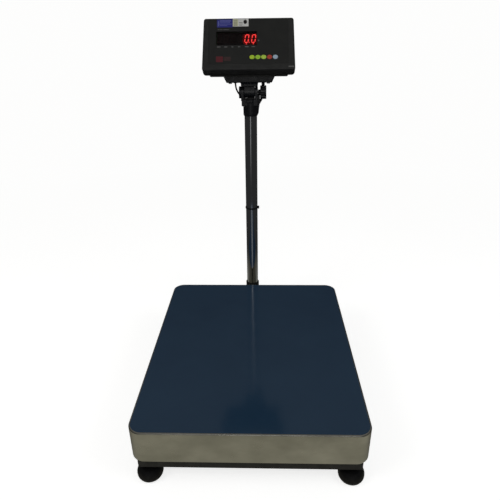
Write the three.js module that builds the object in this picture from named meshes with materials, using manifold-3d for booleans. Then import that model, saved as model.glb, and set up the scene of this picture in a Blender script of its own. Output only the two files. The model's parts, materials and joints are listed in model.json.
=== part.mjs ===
// Bench and floor weighing scale: a stainless weighing pan on a levelled steel base with one load cell, and a
// tilting indicator on a round column behind the pan. Millimetres, +Z up, +X right, front towards -Y.
// The part's origin is on the floor, under the middle of its bounding box.
import * as THREE from 'three';
import Module from 'manifold-3d';
import { mergeVertices } from 'three/addons/utils/BufferGeometryUtils.js';

const wasm = await Module();
wasm.setup();

// ---- driving dimensions -------------------------------------------------------------------------------------
const GAP = 0.3;                      // working gap between separate pieces

const PAN = { width: 500, length: 600, height: 80, corner: 30, fold: 3, sheet: 1.2, top: 152 };
const FILM = { inset: 3.5, thickness: 0.15 };

const BASE = { width: 476, length: 576, low: 42, high: 76, railWidth: 38, wall: 2.5, closed: true };
const UPPER = { width: 456, length: 556, low: 122, high: 147, railWidth: 30, wall: 2, closed: false };
const BEAM_WIDTH = 60;                // both beams that hold the load cell
const CELL = { width: 40, length: 150, low: 79, high: 119, seatLength: 35, holeRadius: 13, holeSpread: 34 };
const CELL_BOLT = { radius: 5, headRadius: 8, headHeight: 5.5, reach: 18, accessRadius: 9.5 };
const CELL_BOLT_SPREAD = [48, 66];    // distances of each end's two bolts from the cell's middle
const PAN_PAD = { radius: 12, inset: 45 };

const FOOT = { x: 219, y: 270, height: 30, studRadius: 5, studTop: 62, socketFloor: 8 };
const FOOT_NUT = { acrossFlats: 17, low: 33 };

const COLUMN = { x: -7, y: 373, radius: 17.8, wall: 1.5, low: 62, high: 684 };
const BRACKET = { plateWidth: 90, plateThickness: 4, armWidth: 40, armHigh: 66, socketRadius: 21, socketHigh: 124.5 };
const BRACKET_CHANNEL = { low: 48, high: 60, width: 12 };
const BRACKET_BOLT = { radius: 4, headRadius: 7.5, headHeight: 5, spread: 32 };
const LOCK_SCREW = { radius: 4, headRadius: 8, headHeight: 6, z: 100 };

const HINGE = { x: COLUMN.x - 2.8, y: COLUMN.y, z: 723, earRadius: 15.5, barrelRadius: 14.5, boltRadius: 4 };
const EAR = { inner: 15.25, outer: 23.25 };       // from the hinge's middle
const COLLAR = { low: 660, block: 688, high: 706, radius: 20.5, left: 24.5, right: 21, bore: COLUMN.radius + GAP };
// The collar's rib under the knob's neck.
const GUSSET = { root: 18, low: 666, bend: 699, high: 715.4, reach: 26.3, halfWidth: 6 };
const CABLE_HOLE = { radius: 4, z: 696 };
const CAP = { radius: 16, thickness: 5.4 };
const KNOB = { neckRadius: 7, low: 29.6, high: 46.6, radius: 17.85, scallops: 12, scallopRadius: 2.6 };

const HEAD_X = HINGE.x;
const TILT = 30;                      // the face leans back by this from the vertical, in degrees
const FACE = {
  bottom: 242, top: 234, chin: 8, height: 133, depth: 28, y: 305.5, z: 793, corner: 8, edge: 5, wall: 2.5,
};
const OVERLAY = { width: 208, height: 119, middle: 68.5, recess: 0.8, thickness: 0.5, corner: 4 };
const WINDOW = { left: -84, right: 21.6, low: 59.6, high: 95.6, front: -0.1, back: -2.3 };
const KEY = { width: 13.4, height: 11, first: 9.3, pitch: 15, y: 26.4, front: 1.3, back: -6 };
const KEY_COLOURS = [0xc6d21e, 0x3ccf1c, 0xc6d21e, 0xe0342c, 0xa9c4d8];
const MODULE = { inset: 3, front: -4.4, back: -12.9 };
const BOARD = { width: 196, low: 12, high: 118, front: -13.2, back: -14.8 };
const REAR = {
  width: 207, low: 768, back: 412, high: 868, upperEnd: 127, ahead: 18, corner: 6, wall: 2.5, edge: 4,
};
const REAR_OPENING = { width: 190, low: 8, high: 118, corner: 6 };      // for the wires, on the joint plane
const BATTERY = { x: 45, width: 70, front: 368, back: 406, low: 771.5, high: 819 };
const PLATE = { bottom: 123, top: 141, low: 749.7, front: 352, back: 394 };
const NECK = { width: 46.5, low: 739.3, depth: 28, webDepth: 24 };
const PLATE_SCREW = { radius: 2, headRadius: 4.5, headHeight: 2.6, spread: 52, reach: 10, y: 362 };

const GLAND_Y = 403;
const SIGNAL = { radius: 2.25, glandX: -50, glandLow: 744 };
const MAINS = { radius: 3.25, glandX: 28, nutLow: 756, bootLow: 728 };
const COIL = { x: 75, y: 352, inner: 25.8, outer: 46.2, height: 13.6 };
const PLUG = { low: 102.5, bootHigh: 120, high: 150, pinHigh: 169, y: 394.8, z: 10.2, pinSpread: 9.5 };
const TIE = { z: 385, height: 4.8, band: 1.3, leadY: 21.6 };

const WHOLE = { front: -PAN.length / 2, back: REAR.back };

// ---- finishes -----------------------------------------------------------------------------------------------
const STAINLESS = { color: 0x8f8c80, roughness: 0.35, metalness: 1 };
const FILM_BLUE = { color: 0x14304e, roughness: 0.12, metalness: 0 };
const BLACK_PAINT = { color: 0x141414, roughness: 0.5, metalness: 0.1 };
const ALUMINIUM = { color: 0xb9bbbd, roughness: 0.35, metalness: 1 };
const ZINC = { color: 0x9a9ca0, roughness: 0.3, metalness: 1 };
const CHROME = { color: 0xc9ccd0, roughness: 0.08, metalness: 1 };
const RUBBER = { color: 0x111112, roughness: 0.7, metalness: 0 };
const HOUSING = { color: 0x1f201f, roughness: 0.45, metalness: 0 };
const HINGE_PLASTIC = { color: 0x1b1c1e, roughness: 0.4, metalness: 0 };
const OVERLAY_SKIN = { color: 0x161716, roughness: 0.35, metalness: 0 };
const SMOKED = { color: 0x100a0a, roughness: 0.12, metalness: 0 };
const BOARD_GREEN = { color: 0x1e5631, roughness: 0.5, metalness: 0 };
const CABLE = { color: 0x121212, roughness: 0.5, metalness: 0 };

// ---- shape helpers ------------------------------------------------------------------------------------------
const rad = THREE.MathUtils.degToRad;

function solidOf(geometry) {
  const bare = geometry.clone();
  bare.deleteAttribute('normal');
  bare.deleteAttribute('uv');
  const merged = mergeVertices(bare, 1e-4);
  const vertProperties = new Float32Array(merged.attributes.position.array);
  const triVerts = new Uint32Array(merged.index.array);
  return new wasm.Manifold(new wasm.Mesh({ numProp: 3, vertProperties, triVerts }));
}

function geometryOf(solid) {
  const mesh = solid.getMesh();
  const geometry = new THREE.BufferGeometry();
  geometry.setAttribute('position', new THREE.BufferAttribute(mesh.vertProperties, 3));
  geometry.setIndex(new THREE.BufferAttribute(mesh.triVerts, 1));
  geometry.computeVertexNormals();
  return geometry;
}

function join(...geometries) {
  return geometryOf(geometries.map(solidOf).reduce((whole, piece) => whole.add(piece)));
}

function cut(geometry, ...tools) {
  return geometryOf(tools.map(solidOf).reduce((whole, tool) => whole.subtract(tool), solidOf(geometry)));
}

// A box between two values on each axis.
function block([x0, x1], [y0, y1], [z0, z1]) {
  const box = new THREE.BoxGeometry(x1 - x0, y1 - y0, z1 - z0);
  return box.translate((x0 + x1) / 2, (y0 + y1) / 2, (z0 + z1) / 2);
}

// A round bar from low to high along an axis, through the point [x, y, z].
function rod(axis, radius, low, high, [x, y, z], sides = 24) {
  const bar = new THREE.CylinderGeometry(radius, radius, high - low, sides);
  const middle = (low + high) / 2;
  if (axis === 'x') return bar.rotateZ(-Math.PI / 2).translate(middle, y, z);
  if (axis === 'y') return bar.translate(x, middle, z);
  return bar.rotateX(Math.PI / 2).translate(x, y, middle);
}

// A turned solid about +Z, from [radius, z] pairs that start and end on the axis.
function turned(profile, sides = 24) {
  const points = profile.map(([radius, z]) => new THREE.Vector2(radius, z));
  return new THREE.LatheGeometry(points, sides).rotateX(Math.PI / 2);
}

// A polygon with every corner rounded by one radius, as near-circular curves.
function roundedPolygon(corners, radius) {
  const shape = new THREE.Shape();
  const count = corners.length;
  corners.forEach(([x, y], index) => {
    const here = new THREE.Vector2(x, y);
    const before = new THREE.Vector2(...corners[(index + count - 1) % count]).sub(here).normalize();
    const after = new THREE.Vector2(...corners[(index + 1) % count]).sub(here).normalize();
    const turn = Math.PI - Math.acos(before.dot(after));
    const reach = radius * Math.tan(turn / 2);
    const handle = reach - radius * (4 / 3) * Math.tan(turn / 4);
    const from = here.clone().addScaledVector(before, reach);
    const to = here.clone().addScaledVector(after, reach);
    const bend = [here.clone().addScaledVector(before, handle), here.clone().addScaledVector(after, handle)];
    if (index === 0) shape.moveTo(from.x, from.y);
    else shape.lineTo(from.x, from.y);
    shape.bezierCurveTo(bend[0].x, bend[0].y, bend[1].x, bend[1].y, to.x, to.y);
  });
  shape.closePath();
  return shape;
}

function roundedBox(width, height, radius, x = 0, y = 0) {
  const [w, h] = [width / 2, height / 2];
  return roundedPolygon([[x - w, y - h], [x + w, y - h], [x + w, y + h], [x - w, y + h]], radius);
}

function oval(width, height, x, y) {
  return new THREE.Shape().absellipse(x, y, width / 2, height / 2, 0, Math.PI * 2);
}

// A flat outline stretched from z = low to z = high.
function prism(shape, low, high, curveSegments = 5) {
  const solid = new THREE.ExtrudeGeometry(shape, { depth: high - low, bevelEnabled: false, curveSegments });
  return solid.translate(0, 0, low);
}

// The same, with both end edges rounded inside the outline by one radius.
function softPrism(shape, low, high, edge, curveSegments = 5, bevelSegments = 3) {
  const bevel = { bevelSize: edge, bevelThickness: edge, bevelOffset: -edge, bevelSegments };
  const depth = high - low - 2 * edge;
  return new THREE.ExtrudeGeometry(shape, { depth, curveSegments, ...bevel }).translate(0, 0, low + edge);
}

// A round tube along a smooth curve through a list of points.
function cable(points, radius, steps) {
  const path = new THREE.CatmullRomCurve3(points.map((point) => new THREE.Vector3(...point)), false, 'centripetal');
  const section = new THREE.Shape();
  const sides = 8;
  for (let side = 0; side < sides; side += 1) {
    const angle = (side / sides) * Math.PI * 2;
    const [x, y] = [radius * Math.cos(angle), radius * Math.sin(angle)];
    if (side === 0) section.moveTo(x, y);
    else section.lineTo(x, y);
  }
  section.closePath();
  return new THREE.ExtrudeGeometry(section, { steps, extrudePath: path, bevelEnabled: false });
}

function place(parent, name, geometry, finish) {
  const mesh = new THREE.Mesh(geometry, new THREE.MeshStandardMaterial(finish));
  mesh.name = name;
  parent.add(mesh);
  return mesh;
}

// ---- base and load cell -------------------------------------------------------------------------------------
// A rectangular tube along one horizontal axis, with open or closed ends.
function boxTube(axis, [a0, a1], [b0, b1], [z0, z1], wall, closed = false) {
  const inside = [[b0 + wall, b1 - wall], [z0 + wall, z1 - wall]];
  const past = closed ? [a0 + wall, a1 - wall] : [a0 - 1, a1 + 1];
  if (axis === 'x') return cut(block([a0, a1], [b0, b1], [z0, z1]), block(past, inside[0], inside[1]));
  return cut(block([b0, b1], [a0, a1], [z0, z1]), block(inside[0], past, inside[1]));
}

// Four tubes in a rectangle. The side tubes run the whole length, and may be closed with end plates.
function addFrame(parent, prefix, frame, cutSide, cutRear) {
  const [x, y] = [frame.width / 2, frame.length / 2];
  const levels = [frame.low, frame.high];
  const between = [-x + frame.railWidth, x - frame.railWidth];
  const left = boxTube('y', [-y, y], [-x, -x + frame.railWidth], levels, frame.wall, frame.closed);
  const right = boxTube('y', [-y, y], [x - frame.railWidth, x], levels, frame.wall, frame.closed);
  const front = boxTube('x', between, [-y, -y + frame.railWidth], levels, frame.wall);
  const rear = boxTube('x', between, [y - frame.railWidth, y], levels, frame.wall);
  place(parent, `${prefix}_rail_left`, cutSide ? cut(left, ...cutSide(-1)) : left, BLACK_PAINT);
  place(parent, `${prefix}_rail_right`, cutSide ? cut(right, ...cutSide(1)) : right, BLACK_PAINT);
  place(parent, `${prefix}_rail_front`, front, BLACK_PAINT);
  place(parent, `${prefix}_rail_rear`, cutRear ? cut(rear, ...cutRear) : rear, BLACK_PAINT);
}

function addBase(parent) {
  const studHole = FOOT.studRadius + GAP;
  const studHoles = (side) => [-1, 1].map((end) =>
    rod('z', studHole, BASE.low - 1, BASE.low + BASE.wall + 1, [side * FOOT.x, end * FOOT.y, 0]));
  const rearFace = BASE.length / 2;
  const channelZ = (BRACKET_CHANNEL.low + BRACKET_CHANNEL.high) / 2;
  const cableHole = rod('y', SIGNAL.radius + 1, rearFace - BASE.railWidth - 1, rearFace + 1, [COLUMN.x, 0, channelZ]);
  const boltHoles = bracketBoltPlaces().map(([x, z]) =>
    rod('y', BRACKET_BOLT.radius + GAP, rearFace - BASE.wall - 1, rearFace + 1, [x, 0, z]));
  addFrame(parent, 'base', BASE, studHoles, [cableHole, ...boltHoles]);
  addFrame(parent, 'upper', UPPER);
}

// Both beams run front to back, one under the load cell and one over it.
function addBeams(parent) {
  const across = [-BEAM_WIDTH / 2, BEAM_WIDTH / 2];
  const baseReach = BASE.length / 2 - BASE.railWidth;
  const upperReach = UPPER.length / 2 - UPPER.railWidth;
  const lower = boxTube('y', [-baseReach, baseReach], across, [BASE.low, BASE.high], BASE.wall);
  const upper = boxTube('y', [-upperReach, upperReach], across, [UPPER.low, UPPER.high], UPPER.wall);
  const lowerCuts = CELL_BOLT_SPREAD.flatMap((y) => [
    rod('z', CELL_BOLT.accessRadius, BASE.low - 1, BASE.low + BASE.wall + 1, [0, y, 0]),
    rod('z', CELL_BOLT.radius + GAP, BASE.high - BASE.wall - 1, BASE.high + 1, [0, y, 0]),
  ]);
  const upperCuts = CELL_BOLT_SPREAD.flatMap((y) => [
    rod('z', CELL_BOLT.accessRadius, UPPER.high - UPPER.wall - 1, UPPER.high + 1, [0, -y, 0]),
    rod('z', CELL_BOLT.radius + GAP, UPPER.low - 1, UPPER.low + UPPER.wall + 1, [0, -y, 0]),
  ]);
  const cableSlot = block([COLUMN.x - 5, COLUMN.x + 5], [98, 150], [BASE.high - BASE.wall - 1, BASE.high + 1]);
  place(parent, 'base_beam', cut(lower, ...lowerCuts, cableSlot), BLACK_PAINT);
  place(parent, 'upper_beam', cut(upper, ...upperCuts), BLACK_PAINT);
}

// The cell stands on the base beam at its rear end and carries the upper beam on its front end.
function addLoadCell(parent) {
  const [x, y] = [CELL.width / 2, CELL.length / 2];
  const body = block([-x, x], [-y, y], [CELL.low, CELL.high]);
  const rearSeat = block([-x, x], [y - CELL.seatLength, y], [BASE.high, CELL.low + 1]);
  const frontSeat = block([-x, x], [-y, -y + CELL.seatLength], [CELL.high - 1, UPPER.low]);
  const middle = (CELL.low + CELL.high) / 2;
  const holes = [-1, 1].map((side) =>
    rod('x', CELL.holeRadius, -x - 1, x + 1, [0, (side * CELL.holeSpread) / 2, middle]));
  const slot = block([-x - 1, x + 1], [-CELL.holeSpread / 2, CELL.holeSpread / 2], [middle - 4, middle + 4]);
  const boltHoles = CELL_BOLT_SPREAD.flatMap((along) => [
    rod('z', CELL_BOLT.radius + GAP, BASE.high - 1, BASE.high + CELL_BOLT.reach + GAP, [0, along, 0], 16),
    rod('z', CELL_BOLT.radius + GAP, UPPER.low - CELL_BOLT.reach - GAP, UPPER.low + 1, [0, -along, 0], 16),
  ]);
  place(parent, 'load_cell', cut(join(body, rearSeat, frontSeat), ...holes, slot, ...boltHoles), ALUMINIUM);
}

// Socket-head bolts: two up through the base beam and two down through the upper beam.
function addCellBolts(parent) {
  const { radius, headRadius, headHeight, reach } = CELL_BOLT;
  CELL_BOLT_SPREAD.forEach((along, index) => {
    const seat = BASE.high - BASE.wall;
    const upward = join(
      rod('z', headRadius, seat - headHeight - GAP, seat - GAP, [0, along, 0], 16),
      rod('z', radius, seat - 1, BASE.high + reach, [0, along, 0], 16),
    );
    place(parent, `cell_bolt_lower_${index + 1}`, upward, ZINC);
    const ledge = UPPER.low + UPPER.wall;
    const downward = join(
      rod('z', headRadius, ledge + GAP, ledge + headHeight + GAP, [0, -along, 0], 16),
      rod('z', radius, UPPER.low - reach, ledge + 1, [0, -along, 0], 16),
    );
    place(parent, `cell_bolt_upper_${index + 1}`, downward, ZINC);
  });
}

// Rubber buttons on the upper frame, which the pan rests on.
function addPanPads(parent) {
  const x = (UPPER.width - UPPER.railWidth) / 2;
  const y = UPPER.length / 2 - PAN_PAD.inset;
  const corners = [[-x, -y], [x, -y], [-x, y], [x, y]];
  corners.forEach(([px, py], index) => {
    const pad = rod('z', PAN_PAD.radius, UPPER.high, PAN.top - PAN.sheet, [px, py, 0], 20);
    place(parent, `pan_pad_${index + 1}`, pad, RUBBER);
  });
}

// ---- feet ---------------------------------------------------------------------------------------------------
// A squashed ball of rubber on a threaded stud with its lock nut.
function footPad() {
  const outline = [
    [0, 0], [20.5, 0], [25.5, 3.5], [28.5, 10], [28.3, 16], [25.8, 23], [20.5, 28], [15, FOOT.height],
    [FOOT.studRadius + GAP, FOOT.height], [FOOT.studRadius + GAP, FOOT.socketFloor - GAP],
    [0, FOOT.socketFloor - GAP],
  ];
  return turned(outline, 20);
}

function footStud() {
  const stud = rod('z', FOOT.studRadius, FOOT.socketFloor, FOOT.studTop, [0, 0, 0], 16);
  const nutRadius = FOOT_NUT.acrossFlats / Math.sqrt(3);
  return join(stud, rod('z', nutRadius, FOOT_NUT.low, BASE.low - GAP, [0, 0, 0], 6));
}

function addFeet(parent) {
  const corners = [[-1, -1], [1, -1], [-1, 1], [1, 1]];
  corners.forEach(([side, end], index) => {
    const foot = new THREE.Group();
    foot.position.set(side * FOOT.x, end * FOOT.y, 0);
    place(foot, `foot_pad_${index + 1}`, footPad(), RUBBER);
    place(foot, `foot_stud_${index + 1}`, footStud(), ZINC);
    parent.add(foot);
  });
}

// ---- weighing pan -------------------------------------------------------------------------------------------
function addPan(parent) {
  const { width, length, height, corner, fold, sheet, top } = PAN;
  const spare = 10;
  const outer = softPrism(roundedBox(width, length, corner), top - height - spare, top, fold, 7);
  const inner = softPrism(
    roundedBox(width - 2 * sheet, length - 2 * sheet, corner - sheet),
    top - height - 2 * spare, top - sheet, fold - sheet, 7,
  );
  const below = block([-width, width], [-length, length], [top - height - 2 * spare, top - height]);
  place(parent, 'weighing_pan', cut(outer, inner, below), STAINLESS);
  const skin = roundedBox(width - 2 * FILM.inset, length - 2 * FILM.inset, corner - FILM.inset);
  place(parent, 'protective_film', prism(skin, top, top + FILM.thickness, 7), FILM_BLUE);
}

// ---- column -------------------------------------------------------------------------------------------------
function bracketBoltPlaces() {
  const z = (BASE.low + BASE.high) / 2;
  return [-1, 1].map((side) => [COLUMN.x + side * BRACKET_BOLT.spread, z]);
}

// A plate on the rear rail, a hollow arm under the pan's skirt, and the socket that holds the column.
function addBracket(parent) {
  const { x, y } = COLUMN;
  const face = BASE.length / 2;
  const plate = block(
    [x - BRACKET.plateWidth / 2, x + BRACKET.plateWidth / 2], [face, face + BRACKET.plateThickness],
    [BASE.low, BASE.high - 6],
  );
  const arm = block([x - BRACKET.armWidth / 2, x + BRACKET.armWidth / 2], [face, y], [BASE.low, BRACKET.armHigh]);
  const socket = rod('z', BRACKET.socketRadius, BASE.low, BRACKET.socketHigh, [x, y, 0], 32);
  const bore = rod('z', COLUMN.radius + GAP, COLUMN.low - GAP, BRACKET.socketHigh + 1, [x, y, 0], 32);
  const well = rod('z', COLUMN.radius - COLUMN.wall, BRACKET_CHANNEL.low, COLUMN.low + 1, [x, y, 0], 32);
  const half = BRACKET_CHANNEL.width / 2;
  const channel = block([x - half, x + half], [face - 1, y], [BRACKET_CHANNEL.low, BRACKET_CHANNEL.high]);
  const screwHole = rod('x', LOCK_SCREW.radius + GAP, x - BRACKET.socketRadius - 1, x, [0, y, LOCK_SCREW.z], 16);
  const boltHoles = bracketBoltPlaces().map(([bx, bz]) =>
    rod('y', BRACKET_BOLT.radius + GAP, face - 1, face + BRACKET.plateThickness + 1, [bx, 0, bz], 16));
  const bracket = cut(join(plate, arm, socket), bore, well, channel, screwHole, ...boltHoles);
  place(parent, 'column_bracket', bracket, BLACK_PAINT);
}

function addBracketBolts(parent) {
  const face = BASE.length / 2 + BRACKET.plateThickness;
  bracketBoltPlaces().forEach(([x, z], index) => {
    const head = rod('y', BRACKET_BOLT.headRadius, face + GAP, face + GAP + BRACKET_BOLT.headHeight, [x, 0, z], 6);
    const shank = rod('y', BRACKET_BOLT.radius, face - 24, face + 1, [x, 0, z], 16);
    place(parent, `bracket_bolt_${index + 1}`, join(head, shank), ZINC);
  });
}

function addColumn(parent) {
  const { x, y, radius, wall, low, high } = COLUMN;
  const outside = rod('z', radius, low, high, [x, y, 0], 40);
  const inside = rod('z', radius - wall, low - 1, high + 1, [x, y, 0], 40);
  place(parent, 'column', cut(outside, inside), CHROME);
  const face = x - BRACKET.socketRadius;
  const centre = [0, y, LOCK_SCREW.z];
  const shank = rod('x', LOCK_SCREW.radius, face - 1, x - radius - GAP, centre, 16);
  const head = rod('x', LOCK_SCREW.headRadius, face - GAP - LOCK_SCREW.headHeight, face - GAP, centre, 6);
  place(parent, 'column_lock_screw', join(shank, head), ZINC);
}

// ---- tilt hinge ---------------------------------------------------------------------------------------------
// The collar on the column's top: a sleeve, a block above it and two ears with round tops.
function addCollar(parent) {
  const { x, y } = COLUMN;
  const sleeve = turned([
    [0, COLLAR.low], [COLLAR.radius - 1.5, COLLAR.low], [COLLAR.radius, COLLAR.low + 4], [COLLAR.radius, COLLAR.high],
    [0, COLLAR.high],
  ], 32).translate(x, y, 0);
  const shoulder = block([x - COLLAR.left, x + COLLAR.right], [y - 19, y + 19], [COLLAR.block, COLLAR.high]);
  const ears = [[-EAR.outer, -EAR.inner], [EAR.inner, EAR.outer]].flatMap(([low, high]) => [
    rod('x', HINGE.earRadius, HINGE.x + low, HINGE.x + high, [0, HINGE.y, HINGE.z], 32),
    block([HINGE.x + low, HINGE.x + high], [y - HINGE.earRadius, y + HINGE.earRadius], [COLLAR.high - 4, HINGE.z]),
  ]);
  const rib = new THREE.Shape();
  rib.moveTo(x + GUSSET.root, GUSSET.low);
  rib.lineTo(x + COLLAR.radius + 1.4, GUSSET.low);
  rib.lineTo(x + GUSSET.reach, GUSSET.bend);
  rib.lineTo(x + GUSSET.reach, GUSSET.high);
  rib.lineTo(x + GUSSET.root, GUSSET.high);
  const gusset = prism(rib, -GUSSET.halfWidth, GUSSET.halfWidth).rotateX(Math.PI / 2).translate(0, y, 0);
  const ledge = block([HINGE.x - 9, HINGE.x + 9], [y - 23, y - 18], [COLLAR.high - 8, COLLAR.high - 2]);
  const bore = rod('z', COLLAR.bore, COLLAR.low - 1, COLUMN.high + GAP, [x, y, 0], 40);
  const well = rod('z', COLUMN.radius - COLUMN.wall, COLUMN.high, COLLAR.high - 3, [x, y, 0], 32);
  const cableHole = rod('y', CABLE_HOLE.radius, y, y + 30, [x, 0, CABLE_HOLE.z], 16);
  const boltHole = rod('x', HINGE.boltRadius + GAP, HINGE.x - 40, HINGE.x + 40, [0, HINGE.y, HINGE.z], 16);
  place(parent, 'hinge_collar', cut(join(sleeve, shoulder, ...ears, gusset, ledge), bore, well, cableHole, boltHole),
    HINGE_PLASTIC);
}

// The bolt has a round cap on its left end and reaches into the knob on its right end.
function addHingeBolt(parent) {
  const centre = [0, HINGE.y, HINGE.z];
  const face = HINGE.x - EAR.outer - GAP;
  const cap = softPrism(oval(CAP.radius * 2, CAP.radius * 2, 0, 0), 0, CAP.thickness, 1.2, 10, 2);
  cap.rotateY(-Math.PI / 2).translate(face, HINGE.y, HINGE.z);
  const shank = rod('x', HINGE.boltRadius, face - 1, HINGE.x + KNOB.high - 6, centre, 16);
  place(parent, 'hinge_bolt', join(cap, shank), HINGE_PLASTIC);
}

// A scalloped hand knob with a short neck, turning on the bolt.
function addKnob(parent) {
  const centre = [0, HINGE.y, HINGE.z];
  const rim = softPrism(oval(KNOB.radius * 2, KNOB.radius * 2, 0, 0), 0, KNOB.high - KNOB.low, 1.2, 18, 2);
  rim.rotateY(Math.PI / 2).translate(HINGE.x + KNOB.low, HINGE.y, HINGE.z);
  const neck = rod('x', KNOB.neckRadius, HINGE.x + EAR.outer + GAP, HINGE.x + KNOB.low + 1, centre);
  const scallops = Array.from({ length: KNOB.scallops }, (_, index) => {
    const angle = (index / KNOB.scallops) * Math.PI * 2;
    const reach = KNOB.radius + 1;
    const at = [0, HINGE.y + reach * Math.cos(angle), HINGE.z + reach * Math.sin(angle)];
    return rod('x', KNOB.scallopRadius, HINGE.x + KNOB.low - 1, HINGE.x + KNOB.high + 1, at, 10);
  });
  const boltHole = rod('x', HINGE.boltRadius + GAP, HINGE.x, HINGE.x + KNOB.high - 6 + GAP, centre, 16);
  place(parent, 'tilt_knob', cut(join(rim, neck), ...scallops, boltHole), HINGE_PLASTIC);
}

// The indicator's foot: a tapered plate, a neck, and the barrel that sits between the collar's ears.
function addTiltBracket(parent) {
  const [low, high] = [PLATE.bottom / 2, PLATE.top / 2];
  const corners = [[-low, PLATE.low], [low, PLATE.low], [high, REAR.low], [-high, REAR.low]];
  const outline = roundedPolygon(corners, 2.5);
  const slab = prism(outline, 0, PLATE.back - PLATE.front, 3).rotateX(Math.PI / 2).translate(HEAD_X, PLATE.back, 0);
  const neck = block(
    [HINGE.x - NECK.width / 2, HINGE.x + NECK.width / 2], [HINGE.y - NECK.depth / 2, HINGE.y + NECK.depth / 2],
    [NECK.low, PLATE.low + 2],
  );
  const reach = EAR.inner - 0.4;
  const web = block(
    [HINGE.x - reach, HINGE.x + reach], [HINGE.y - NECK.webDepth / 2, HINGE.y + NECK.webDepth / 2],
    [HINGE.z, NECK.low + 1],
  );
  const centre = [0, HINGE.y, HINGE.z];
  const barrel = rod('x', HINGE.barrelRadius, HINGE.x - reach, HINGE.x + reach, centre, 32);
  const boltHole = rod('x', HINGE.boltRadius + GAP, HINGE.x - 40, HINGE.x + 40, centre, 16);
  const screwHoles = [-1, 1].map((side) => rod('z', PLATE_SCREW.radius + GAP, PLATE.low - 1, REAR.low + 1,
    [HEAD_X + side * PLATE_SCREW.spread, PLATE_SCREW.y, 0], 12));
  place(parent, 'tilt_bracket', cut(join(slab, neck, web, barrel), boltHole, ...screwHoles), HINGE_PLASTIC);
}

function addPlateScrews(parent) {
  [-1, 1].forEach((side, index) => {
    const at = [HEAD_X + side * PLATE_SCREW.spread, PLATE_SCREW.y, 0];
    const head = rod('z', PLATE_SCREW.headRadius, PLATE.low - GAP - PLATE_SCREW.headHeight, PLATE.low - GAP, at, 16);
    const shank = rod('z', PLATE_SCREW.radius, PLATE.low - 1, REAR.low + PLATE_SCREW.reach, at, 12);
    place(parent, `plate_screw_${index + 1}`, join(head, shank), ZINC);
  });
}

// ---- indicator ----------------------------------------------------------------------------------------------
// Local axes of the face: x right, y up the slope with the chin below zero, z out of the face.
function faceGroup() {
  const face = new THREE.Group();
  face.position.set(HEAD_X, FACE.y, FACE.z);
  face.rotation.x = rad(90 - TILT);
  return face;
}

function faceOutline(inset) {
  const [low, high] = [FACE.bottom / 2 - inset, FACE.top / 2 - inset];
  const [bottom, top] = [inset - FACE.chin, FACE.height - inset];
  return roundedPolygon([[-low, bottom], [low, bottom], [high, top], [-high, top]], FACE.corner - inset);
}

function keyPlaces() {
  return KEY_COLOURS.map((_, index) => KEY.first + index * KEY.pitch);
}

function windowOutline(margin) {
  const width = WINDOW.right - WINDOW.left + 2 * margin;
  const height = WINDOW.high - WINDOW.low + 2 * margin;
  return roundedBox(width, height, 1.5, (WINDOW.left + WINDOW.right) / 2, (WINDOW.low + WINDOW.high) / 2);
}

function faceOpenings(front, back) {
  const [width, height] = [KEY.width + 2 * GAP, KEY.height + 2 * GAP];
  const keys = keyPlaces().map((x) => prism(oval(width, height, x, KEY.y), back, front, 5));
  return [prism(windowOutline(GAP), back, front, 2), ...keys];
}

function addFrontHousing(face) {
  const shell = softPrism(faceOutline(0), -FACE.depth - FACE.edge, 0, FACE.edge, 4);
  const clear = 10;
  const behind = block(
    [-FACE.bottom, FACE.bottom], [-FACE.chin - clear, FACE.height + clear], [-FACE.depth - clear, -FACE.depth],
  );
  const hollow = prism(faceOutline(FACE.wall), -FACE.depth - 10, -FACE.wall, 4);
  const { width, height, corner, middle } = OVERLAY;
  const recess = prism(roundedBox(width, height, corner, 0, middle), -OVERLAY.recess, 2, 3);
  const openings = faceOpenings(3, -FACE.wall - 1);
  place(face, 'front_housing', cut(shell, behind, hollow, recess, ...openings), HOUSING);
}

function addOverlay(face) {
  const [width, height] = [OVERLAY.width - 2 * GAP, OVERLAY.height - 2 * GAP];
  const sheet = prism(roundedBox(width, height, OVERLAY.corner, 0, OVERLAY.middle), -OVERLAY.thickness, 0, 3);
  place(face, 'front_overlay', cut(sheet, ...faceOpenings(1, -1)), OVERLAY_SKIN);
  place(face, 'display_window', prism(windowOutline(0), WINDOW.back, WINDOW.front, 2), SMOKED);
}

function addKeys(face) {
  keyPlaces().forEach((x, index) => {
    const cap = softPrism(oval(KEY.width, KEY.height, x, KEY.y), KEY.back, KEY.front, 0.6, 6, 2);
    place(face, `key_${index + 1}`, cap, { color: KEY_COLOURS[index], roughness: 0.4, metalness: 0 });
  });
}

function addElectronics(face, parent) {
  const { inset, front, back } = MODULE;
  const across = [WINDOW.left + inset, WINDOW.right - inset];
  const digits = block(across, [WINDOW.low + 1.5, WINDOW.high - 1.5], [back, front]);
  place(face, 'led_display', digits, SMOKED);
  const board = block([-BOARD.width / 2, BOARD.width / 2], [BOARD.low, BOARD.high], [BOARD.back, BOARD.front]);
  place(face, 'main_board', board, BOARD_GREEN);
  const cell = block(
    [HEAD_X + BATTERY.x - BATTERY.width / 2, HEAD_X + BATTERY.x + BATTERY.width / 2],
    [BATTERY.front, BATTERY.back], [BATTERY.low, BATTERY.high],
  );
  place(parent, 'battery', cell, HOUSING);
}

// Where the joint plane between the two housings is, at a distance up the face and a distance behind its back.
function behindFace(up, behind) {
  const [s, c] = [Math.sin(rad(TILT)), Math.cos(rad(TILT))];
  const deep = FACE.depth + behind;
  return [FACE.y + up * s + deep * c, FACE.z + up * c - deep * s];
}

// Puts a shape made in the face's local axes where the face is.
function onFace(geometry) {
  return geometry.rotateX(rad(90 - TILT)).translate(HEAD_X, FACE.y, FACE.z);
}

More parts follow.
